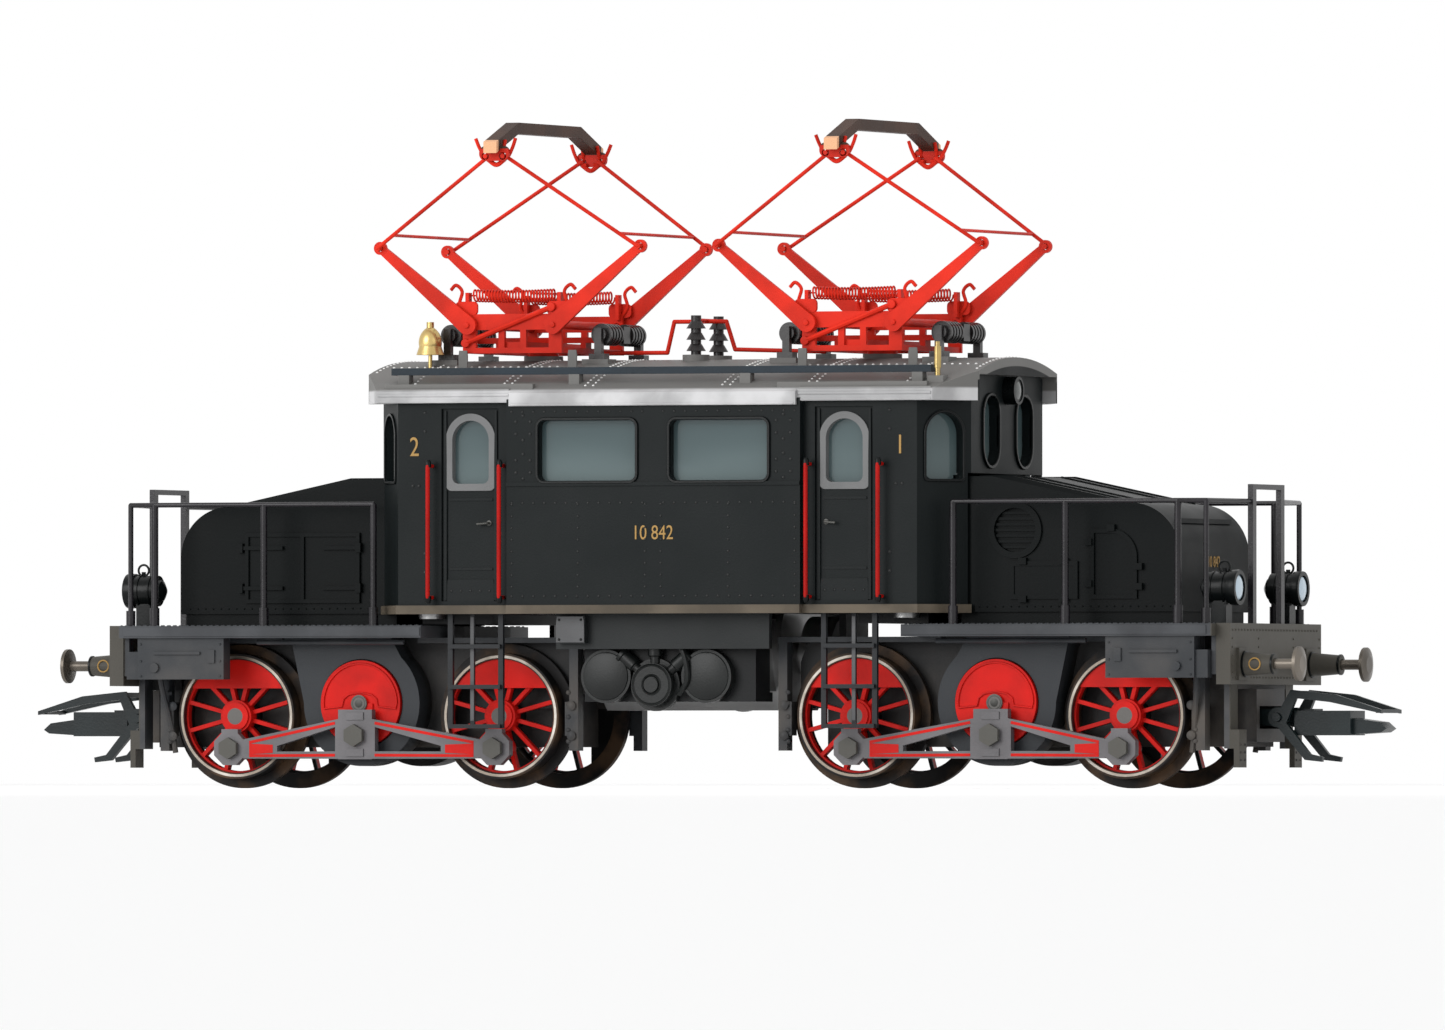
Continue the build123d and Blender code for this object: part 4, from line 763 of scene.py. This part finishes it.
class LOCO_OT_pantographs(bpy.types.Operator):
    """Coil springs, spring hooks, tie links, pivot bolts and head brackets of both pantographs"""

    bl_idname = "loco.pantographs"
    bl_label = "Pantographs"

    def coil(self, centre_x, y):
        """Helix x = c + L t, with y and z on a circle, and a hook at each end."""
        turns, radius, half = 27, 0.62, 4.7
        angle = np.linspace(0, turns * 2 * math.pi, turns * 14)
        sag = -0.12 * np.cos(np.linspace(-math.pi / 2, math.pi / 2, len(angle)))
        helix = np.stack([centre_x + np.linspace(-half, half, len(angle)), y + radius * np.cos(angle),
                          RAIL_Z + 51.6 + sag + radius * np.sin(angle)], -1)
        hook = np.array([[centre_x - half - 0.45, y, RAIL_Z + 51.6], [centre_x - half - 0.15, y + 0.3, RAIL_Z + 51.6]])
        tail = hook[::-1] * [-1, 1, 1] + [2 * centre_x, 0, 0]
        return tube(np.concatenate([hook, helix, tail]), 0.10, 6)

    def execute(self, context):
        springs = []
        for name, end in ENDS:
            x = end * PANTO_X
            springs += [self.coil(x, side * 8.0) for side in SIDES]
            shells = []
            for side in SIDES:
                for hand in (-1, 1):
                    pivot = (x + hand * 4.95, side * 8.8, RAIL_Z + 48.4)
                    shells.append(lathe([(0, 0), (0.6, 0), (0.6, 0.2), (0.35, 0.25), (0.3, 0.95), (0, 1.0)], pivot, (0, side, 0), 16))
                    finger = arc_path([(x + hand * 5.4, side * 8.5, RAIL_Z + 49.4), (x + hand * 6.2, side * 8.5, RAIL_Z + 50.6),
                                       (x + hand * 5.9, side * 8.5, RAIL_Z + 52.0), (x + hand * 6.6, side * 8.5, RAIL_Z + 52.7),
                                       (x + hand * 7.2, side * 8.5, RAIL_Z + 52.2)])
                    shells.append(tube(finger, 0.2, 8))
                    horn = onto(rounded(2.6, 1.5, 0.5), (x + hand * 5.3, side * 8.55, RAIL_Z + 50.2),
                                (1.0, 0.0, 0.0), (0.0, 0.0, 1.0))
                    shells.append(slab(horn, (0, side, 0), 0.3))
            link = np.array([(x - 5.3, -8.95, RAIL_Z + 46.5), (x + 4.6, -8.95, RAIL_Z + 50.3)])
            shells.append(tube(np.linspace(link[0], link[1], 6), 0.3, 8))
            shells += [lathe([(0, 0), (0.5, 0), (0.45, 0.25), (0, 0.3)], spot, (0, -1, 0), 14) for spot in link]
            piece(f"{name}_pantograph_fittings", shells, look_of("pantograph"), "locomotive")
            brackets = []
            for side in SIDES:
                for hand in (-1, 1):
                    hook = arc_path([(x + hand * 0.4, side * 13.1, RAIL_Z + 66.0), (x + hand * 1.3, side * 13.2, RAIL_Z + 66.2),
                                     (x + hand * 1.9, side * 13.3, RAIL_Z + 67.2), (x + hand * 2.3, side * 13.4, RAIL_Z + 68.2)])
                    brackets.append(tube(hook, 0.2, 8))
                    brackets.append(tube([(x + hand * 0.9, side * 13.65, RAIL_Z + 66.4), (x + hand * 0.9, side * 12.9, RAIL_Z + 68.0)], 0.2, 8))
                brackets.append(tube(arc_path([(x - 1.0, side * 13.2, RAIL_Z + 66.0), (x, side * 13.2, RAIL_Z + 65.4),
                                               (x + 1.0, side * 13.2, RAIL_Z + 66.0)]), 0.26, 8))
            piece(f"{name}_head_brackets", brackets, look_of("pantograph"), f"{name}_pantograph_head")
        coils = piece("pantograph_coils", springs, look_of("pantograph"), "locomotive")
        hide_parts("pantograph_springs")
        return {"FINISHED"}


# --- Trucks ---------------------------------------------------------------------------------

class LOCO_OT_rod_inlays(bpy.types.Operator):
    """Red recess lines on the booms of the four side rods"""

    bl_idname = "loco.rod_inlays"
    bl_label = "Rod inlays"

    def strip(self, start, end, width, side):
        """A flat bar between two points of the rod's outer face."""
        start, end = np.array(start, float), np.array(end, float)
        along = (end - start) / np.linalg.norm(end - start)
        away = np.array([-along[1], along[0]]) * width / 2
        flat = np.array([start - away, end - away, end + away, start + away])
        y = side * (ROD_FACE_Y - 0.02)
        outline = np.stack([flat[:, 0], np.full(4, y), flat[:, 1]], -1)
        return slab(outline, (0, side, 0), 0.07, 0.02)

    def execute(self, context):
        for name, end in ENDS:
            for rod, front_side, down in (("right_rod", -1, True), ("left_rod", 1, False)):
                side = front_side if name == "front" else -front_side
                shift = np.array([0.0, 0.0]) if down else np.array([CRANK, CRANK])
                mid = np.array([JACK_X, JACK_Z - CRANK]) + shift
                shells = []
                for axle_x, out in ((OUTER_X, 1), (INNER_X, -1)):
                    eye = np.array([axle_x, AXLE_Z - CRANK]) + shift
                    reach = abs(axle_x - JACK_X)
                    shells.append(self.strip(mid + (out * 2.3, 1.33), eye + (-out * 2.3, 0.62), 0.3, side))
                    shells.append(self.strip(mid + (out * 2.3, -2.1), eye + (-out * 2.3, -0.80), 0.3, side))
                    start = mid[0] + out * (reach * 0.62 + 0.5)
                    wedge = np.array([(start, eye[1] + 0.38), (eye[0] - out * 2.3, eye[1] + 0.5),
                                      (eye[0] - out * 2.3, eye[1] - 0.66), (start, eye[1] - 0.5)])
                    y = np.full(4, side * (ROD_FACE_Y - 0.02))
                    outline = np.stack([wedge[:, 0], y, wedge[:, 1]], -1)
                    shells.append(slab(outline, (0, side, 0), 0.06, 0.02))
                piece(f"{name}_{rod}_inlay", turned(shells, end), look_of("red"), f"{name}_{rod}", False)
        return {"FINISHED"}


class LOCO_OT_truck_details(bpy.types.Operator):
    """Rivets, lamp lenses, buffer rings, boards, latches and pipes on both trucks"""

    bl_idname = "loco.truck_details"
    bl_label = "Truck details"

    def rivets(self):
        """Rivet rows on the buffer beam."""
        shells = []
        for z in (10.7, 15.7):
            spots = np.array([(BEAM_X, y, RAIL_Z + z) for y in np.arange(-12.9, 13, 0.9)])
            shells.append(domes(spots, (1, 0, 0), 0.14, 6))
        for y in (-13.0, -5.2, 5.2, 13.0):
            spots = np.array([(BEAM_X, y, RAIL_Z + z) for z in np.arange(11.2, 15.6, 0.9)])
            shells.append(domes(spots, (1, 0, 0), 0.14, 6))
        return shells

    def hood_rivets(self):
        shells = []
        for side in SIDES:
            spots = np.array([(x, side * HOOD_SIDE_Y, RAIL_Z + 18.2) for x in np.arange(34.6, 57, 0.9)])
            shells.append(domes(spots, (0, side, 0), 0.11, 6))
            spots = np.array([(x, side * 8.6, RAIL_Z + 32.0) for x in np.arange(34.4, 38.0, 0.9)])
            shells.append(domes(spots, (0, 0, 1), 0.12, 6))
            fall = (32.0 - 29.13) / (51.8 - 38.17)
            spots = np.array([(x, side * 8.6, RAIL_Z + 32.0 - (x - 38.17) * fall) for x in np.arange(38.6, 51.6, 0.95)])
            shells.append(domes(spots, (fall, 0, 1), 0.12, 6))
            for y in (4.4, 8.6):
                path = [(38.2, side * y, RAIL_Z + 32.02), (51.8, side * y, RAIL_Z + 29.17)]
                shells.append(tube(np.linspace(path[0], path[1], 6), 0.16, 6))
            path = [(34.0, side * 8.6, RAIL_Z + 32.02), (38.2, side * 8.6, RAIL_Z + 32.02)]
            shells.append(tube(np.linspace(path[0], path[1], 4), 0.16, 6))
        return shells

    def deck_studs(self):
        """Tread studs along both edges of the deck."""
        shells = []
        for side in SIDES:
            for y in (14.75, 13.6):
                spots = np.array([(x, side * y, DECK_TOP) for x in np.arange(28.0, 62.4, 0.7)])
                shells.append(domes(spots, (0, 0, 1), 0.16, 6))
            strip = plate(27.6, 62.0, side * 15.0, side * 15.12, RAIL_Z + 15.25, RAIL_Z + 16.2)
            shells.append(strip)
        return shells

    def execute(self, context):
        for name, end in ENDS:
            truck = f"{name}_truck"
            piece(f"{name}_beam_rivets", turned(self.rivets(), end), look_of("deck"), truck)
            piece(f"{name}_hood_rivets", turned(self.hood_rivets(), end), look_of("hood"), truck)
            piece(f"{name}_deck_studs", turned(self.deck_studs(), end), look_of("deck"), truck)
            lenses, rings, black, pipes = [], [], [], []
            for side in SIDES:
                lamp = (63.42, side * 9.5, RAIL_Z + 20.15)
                dome = [(1.4 * math.cos(t), 0.42 * math.sin(t)) for t in np.linspace(0, math.pi / 2, 8)]
                lenses.append(lathe([(0, -0.1), (1.4, -0.1), *dome], lamp, (1, 0, 0), 28))
                black.append(lathe([(1.42, -0.2), (1.42, 0.35), (1.85, 0.35), (1.9, 0.1), (1.85, -0.6), (1.42, -0.6), (1.42, -0.2)],
                                   lamp, (1, 0, 0), 28))
                black.append(lathe([(0, 0), (1.2, 0), (1.1, 0.4), (0.4, 0.8), (0, 0.9)], (60.2, side * 9.5, RAIL_Z + 20.15), (-1, 0, 0), 24))
                for x in (60.9, 62.2):
                    black.append(lathe([(1.64, -0.15), (1.78, -0.1), (1.78, 0.1), (1.64, 0.15)], (x, side * 9.5, RAIL_Z + 20.15), (1, 0, 0), 24))
                black.append(tube([(62.0, side * 9.5, RAIL_Z + 21.6), (62.0, side * 9.5, RAIL_Z + 22.2)], 0.25, 8))
                hub = (65.9, side * 10.05, RAIL_Z + 12.1)
                badge = np.array([(66.0 + 0.62 * math.cos(t), side * (10.05 + 1.15), RAIL_Z + 12.1 + 0.62 * math.sin(t))
                                  for t in np.linspace(0, 2 * math.pi, 20)])
                rings.append(tube(badge, 0.08, 6))
                for back_x, radius in ((67.75, 1.05), (64.6, 1.34)):
                    black.append(lathe([(radius - 0.2, -0.12), (radius + 0.06, -0.1), (radius + 0.06, 0.1), (radius - 0.2, 0.12)],
                                       (back_x, hub[1], hub[2]), (1, 0, 0), 24))
                pipes.append(tube(arc_path([(62.0, side * 11.8, RAIL_Z + 13.6), (59.8, side * 11.6, RAIL_Z + 12.6), (59.2, side * 10.6, RAIL_Z + 9.0),
                                            (58.6, side * 9.6, RAIL_Z + 5.0), (58.3, side * 9.4, RAIL_Z + 2.8)]), 0.3, 8))
                pipes.append(tube([(47.5, side * 12.4, RAIL_Z + 14.6), (30.5, side * 12.4, RAIL_Z + 14.6)], 0.28, 8))
                spots = [(x, side * 14.6, RAIL_Z + z) for x in (50.9, 60.1) for z in (11.0, 12.6, 14.4)]
                pipes.append(domes(spots, (0, side, 0), 0.15, 6))
                spots = [(63.6, side * (8.3 + dy), RAIL_Z + z) for dy in (-0.6, 0.6) for z in (2.0, 2.8, 3.6)]
                pipes.append(domes(spots, (1, 0, 0), 0.16, 6))
                for shoe_x in (12.6, 58.8):
                    for z in (4.0, 5.2, 6.6, 8.0, 9.2):
                        pipes.append(domes([(shoe_x, side * 9.8, RAIL_Z + z)], (0, side, 0), 0.28, 8))
                    for z in (4.6, 7.8):
                        pipes.append(lathe([(0, 0), (0.5, 0), (0.5, 0.25), (0.2, 0.4), (0, 0.4)], (shoe_x - 0.4, side * 9.8, RAIL_Z + z),
                                           (0, side, 0), 12))
            piece(f"{name}_lamp_lenses", turned(lenses, end), look_of("lens"), truck)
            piece(f"{name}_lamp_trim", turned(black, end), look_of("trim"), truck)
            piece(f"{name}_buffer_rings", turned(rings, end), look_of("gold"), truck)
            piece(f"{name}_pipes", turned(pipes, end), look_of("grey"), truck)
        return {"FINISHED"}


class LOCO_OT_underframe(bpy.types.Operator):
    """Compressor caps, pipes and box details below the cab, and the end lamps' lenses"""

    bl_idname = "loco.underframe"
    bl_label = "Underframe"

    def execute(self, context):
        shells, lenses = [], []
        for side in SIDES:
            centre = (-1.4, side * 13.9, RAIL_Z + 10.0)
            for radius in (2.1, 1.0):
                shells.append(lathe([(radius - 0.15, 0), (radius, 0.12), (radius + 0.15, 0)], centre, (0, side, 0), 32))
            for lean in (-50, 0, 50):
                way = np.array([math.sin(math.radians(lean)), 0.0, math.cos(math.radians(lean))])
                foot = np.array([-1.4, side * 12.7, RAIL_Z + 10.0]) + way * 2.9
                shells.append(lathe([(0, 0), (0.55, 0), (0.55, 0.6), (0.8, 0.8), (0.8, 2.3), (0.95, 2.4), (0.95, 2.75), (0.7, 2.9), (0, 2.9)],
                                    foot - way * 0.6, way, 20))
            route = arc_path([(1.4, side * 13.0, RAIL_Z + 9.0), (2.6, side * 13.6, RAIL_Z + 10.6), (2.2, side * 13.6, RAIL_Z + 13.2), (1.0, side * 13.3, RAIL_Z + 15.0)])
            shells.append(tube(route, 0.3, 8))
            for tank_x in (4.6, -6.9):
                shells.append(lathe([(0, 0.35), (1.6, 0.3), (2.5, 0.1), (2.8, -0.3), (2.8, -0.6)], (tank_x, side * 13.2, RAIL_Z + 10.9), (0, side, 0), 32))
            shells.append(domes([(x, side * 15.32, RAIL_Z + z) for x in (-11.4, -8.9) for z in (14.8, 16.9)], (0, side, 0), 0.16))
        for _, end in ENDS:
            dome = [(1.18 * math.cos(t), 0.3 * math.sin(t)) for t in np.linspace(0, math.pi / 2, 8)]
            lenses.append(lathe([(0, -0.1), (1.18, -0.1), *dome], (end * 34.82, 0, RAIL_Z + 41.2), (end, 0, 0), 28))
        piece("underframe_fittings", shells, look_of("tank"), "locomotive")
        piece("upper_lamp_lenses", lenses, look_of("dark_lens"), "locomotive")
        braces, covers = [], []
        for side in SIDES:
            y0, y1 = sorted((side * 14.2, side * 14.27))
            braces += [plate(end * 21.85 - 0.2, end * 21.85 + 0.2, y0, y1, RAIL_Z + 6.2, RAIL_Z + 17.2, 0.02) for _, end in ENDS]
            y0, y1 = sorted((side * 15.2, side * 15.32))
            covers.append(plate(-11.75, -8.55, y0, y1, RAIL_Z + 14.5, RAIL_Z + 17.25, 0.1))
        piece("ladder_braces", braces, look_of("junction"), "locomotive", smooth=False)
        piece("junction_covers", covers, look_of("junction"), "locomotive", smooth=False)
        return {"FINISHED"}


# --- Stage ----------------------------------------------------------------------------------

class LOCO_OT_stage(bpy.types.Operator):
    """Pale floor, soft lamps and the camera"""

    bl_idname = "loco.stage"
    bl_label = "Stage"

    def lamp(self, name, place, aim, size, power):
        data = bpy.data.lights.new(name, "AREA")
        data.shape = "RECTANGLE"
        data.size, data.size_y = size
        data.energy = power
        obj = bpy.data.objects.new(name, data)
        obj.location = place
        obj.rotation_euler = (Vector(aim) - Vector(place)).to_track_quat("-Z", "Y").to_euler()
        bpy.context.scene.collection.objects.link(obj)

    def execute(self, context):
        scene = bpy.context.scene
        wide = 3.0
        floor = [(-wide, -wide, 0.0), (wide, -wide, 0.0), (wide, wide, 0.0), (-wide, wide, 0.0)]
        mesh = bpy.data.meshes.new("floor")
        mesh.from_pydata(floor, [], [(0, 1, 2, 3)])
        obj = bpy.data.objects.new("floor", mesh)
        scene.collection.objects.link(obj)
        stone = Look("pale_floor", Base_Color=(0.95, 0.95, 0.95, 1.0), Roughness=0.85)
        mesh.materials.append(plain(stone))
        world = bpy.data.worlds.new("studio")
        scene.world = world
        world.use_nodes = True
        world.node_tree.nodes["Background"].inputs[0].default_value = (1.0, 1.0, 1.0, 1.0)
        world.node_tree.nodes["Background"].inputs[1].default_value = 1.0
        power = settings().key_light
        self.lamp("key", (-0.35, -0.75, 0.30), (0, 0, 0.03), (0.5, 0.5), power * 1.45)
        self.lamp("fill", (0.65, -0.35, 0.25), (0, 0, 0.03), (0.4, 0.4), power * 0.10)
        self.lamp("top", (0.0, 0.15, 0.75), (0, 0, 0.03), (0.9, 0.5), power * 0.15)
        scene.view_settings.view_transform = "Standard"
        turn, pitch = math.radians(22.004), math.radians(-0.6587)
        distance = 2.4622
        target = Vector((1.14 * MM, 0.0, (RAIL_Z + 28.15) * MM))
        look = Vector((-math.sin(turn) * math.cos(pitch), math.cos(turn) * math.cos(pitch), -math.sin(pitch)))
        data = bpy.data.cameras.new("camera")
        data.sensor_width = 36.0
        data.lens = 575.1
        data.clip_start, data.clip_end = 0.01, 20.0
        camera = bpy.data.objects.new("camera", data)
        camera.location = target - look * distance
        camera.rotation_euler = look.to_track_quat("-Z", "Y").to_euler()
        scene.collection.objects.link(camera)
        scene.camera = camera
        return {"FINISHED"}


class LOCO_OT_jackshaft_webs(bpy.types.Operator):
    """Raised balance segments and hub bosses on the jackshaft discs"""

    bl_idname = "loco.jackshaft_webs"
    bl_label = "Jackshaft webs"

    def execute(self, context):
        for name, end in ENDS:
            down_side = -1 if name == "front" else 1
            shells, bolts = [], []
            for side in SIDES:
                crank = -90 if side == down_side else 0
                spread = np.radians(np.linspace(crank + 180 - 96, crank + 180 + 96, 28))
                outer = np.stack([4.15 * np.cos(spread), 4.15 * np.sin(spread)], -1)
                back = spread[::-1][::3]
                inner_r = 1.25 + 0.9 * np.abs(np.sin(back - math.radians(crank + 180))) ** 3
                inner = np.stack([inner_r * np.cos(back), inner_r * np.sin(back)], -1)
                flat = np.concatenate([outer, inner])
                centre = (JACK_X, side * 10.28, JACK_Z)
                outline = onto(flat, centre, (1.0, 0.0, 0.0), (0.0, 0.0, 1.0))
                shells.append(rim(outline if side < 0 else outline[::-1], (0.0, side * 1.0, 0.0), 0.2, 0.2))
                face = (JACK_X, side * 10.7, JACK_Z)
                bolts.append(lathe([(0, 0), (0.92, 0), (0.92, 0.03), (0.72, 0.06), (0.5, 0.03), (0.42, 0.06), (0, 0.06)],
                                   face, (0, side, 0), 20))
            piece(f"{name}_jackshaft_webs", turned(shells, end), look_of("red"), f"{name}_jackshaft")
            piece(f"{name}_jackshaft_caps", turned(bolts, end), look_of("bolt"), f"{name}_jackshaft")
        return {"FINISHED"}


OPERATORS = (LOCO_OT_finishes, LOCO_OT_window_rims, LOCO_OT_doors, LOCO_OT_cab_rivets, LOCO_OT_numbers,
             LOCO_OT_roof_details, LOCO_OT_pantographs, LOCO_OT_rod_inlays, LOCO_OT_jackshaft_webs, LOCO_OT_truck_details,
             LOCO_OT_underframe, LOCO_OT_stage)


class LOCO_PT_panel(bpy.types.Panel):
    """Sidebar panel that lists the pieces"""

    bl_label = "Locomotive"
    bl_idname = "LOCO_PT_panel"
    bl_space_type = "VIEW_3D"
    bl_region_type = "UI"
    bl_category = "Locomotive"

    def draw(self, context):
        for prop in ("body_colour", "signal_red", "rivet_size", "key_light"):
            self.layout.prop(context.scene.locomotive_settings, prop)
        for operator in OPERATORS:
            self.layout.operator(operator.bl_idname)


CLASSES = (LocomotiveSettings, *OPERATORS, LOCO_PT_panel)


def register():
    for cls in CLASSES:
        bpy.utils.register_class(cls)
    bpy.types.Scene.locomotive_settings = PointerProperty(type=LocomotiveSettings)


def unregister():
    del bpy.types.Scene.locomotive_settings
    for cls in reversed(CLASSES):
        bpy.utils.unregister_class(cls)


def main():
    """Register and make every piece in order."""
    register()
    for operator in OPERATORS:
        group, name = operator.bl_idname.split(".")
        getattr(getattr(bpy.ops, group), name)()


if __name__ == "__main__":
    main()
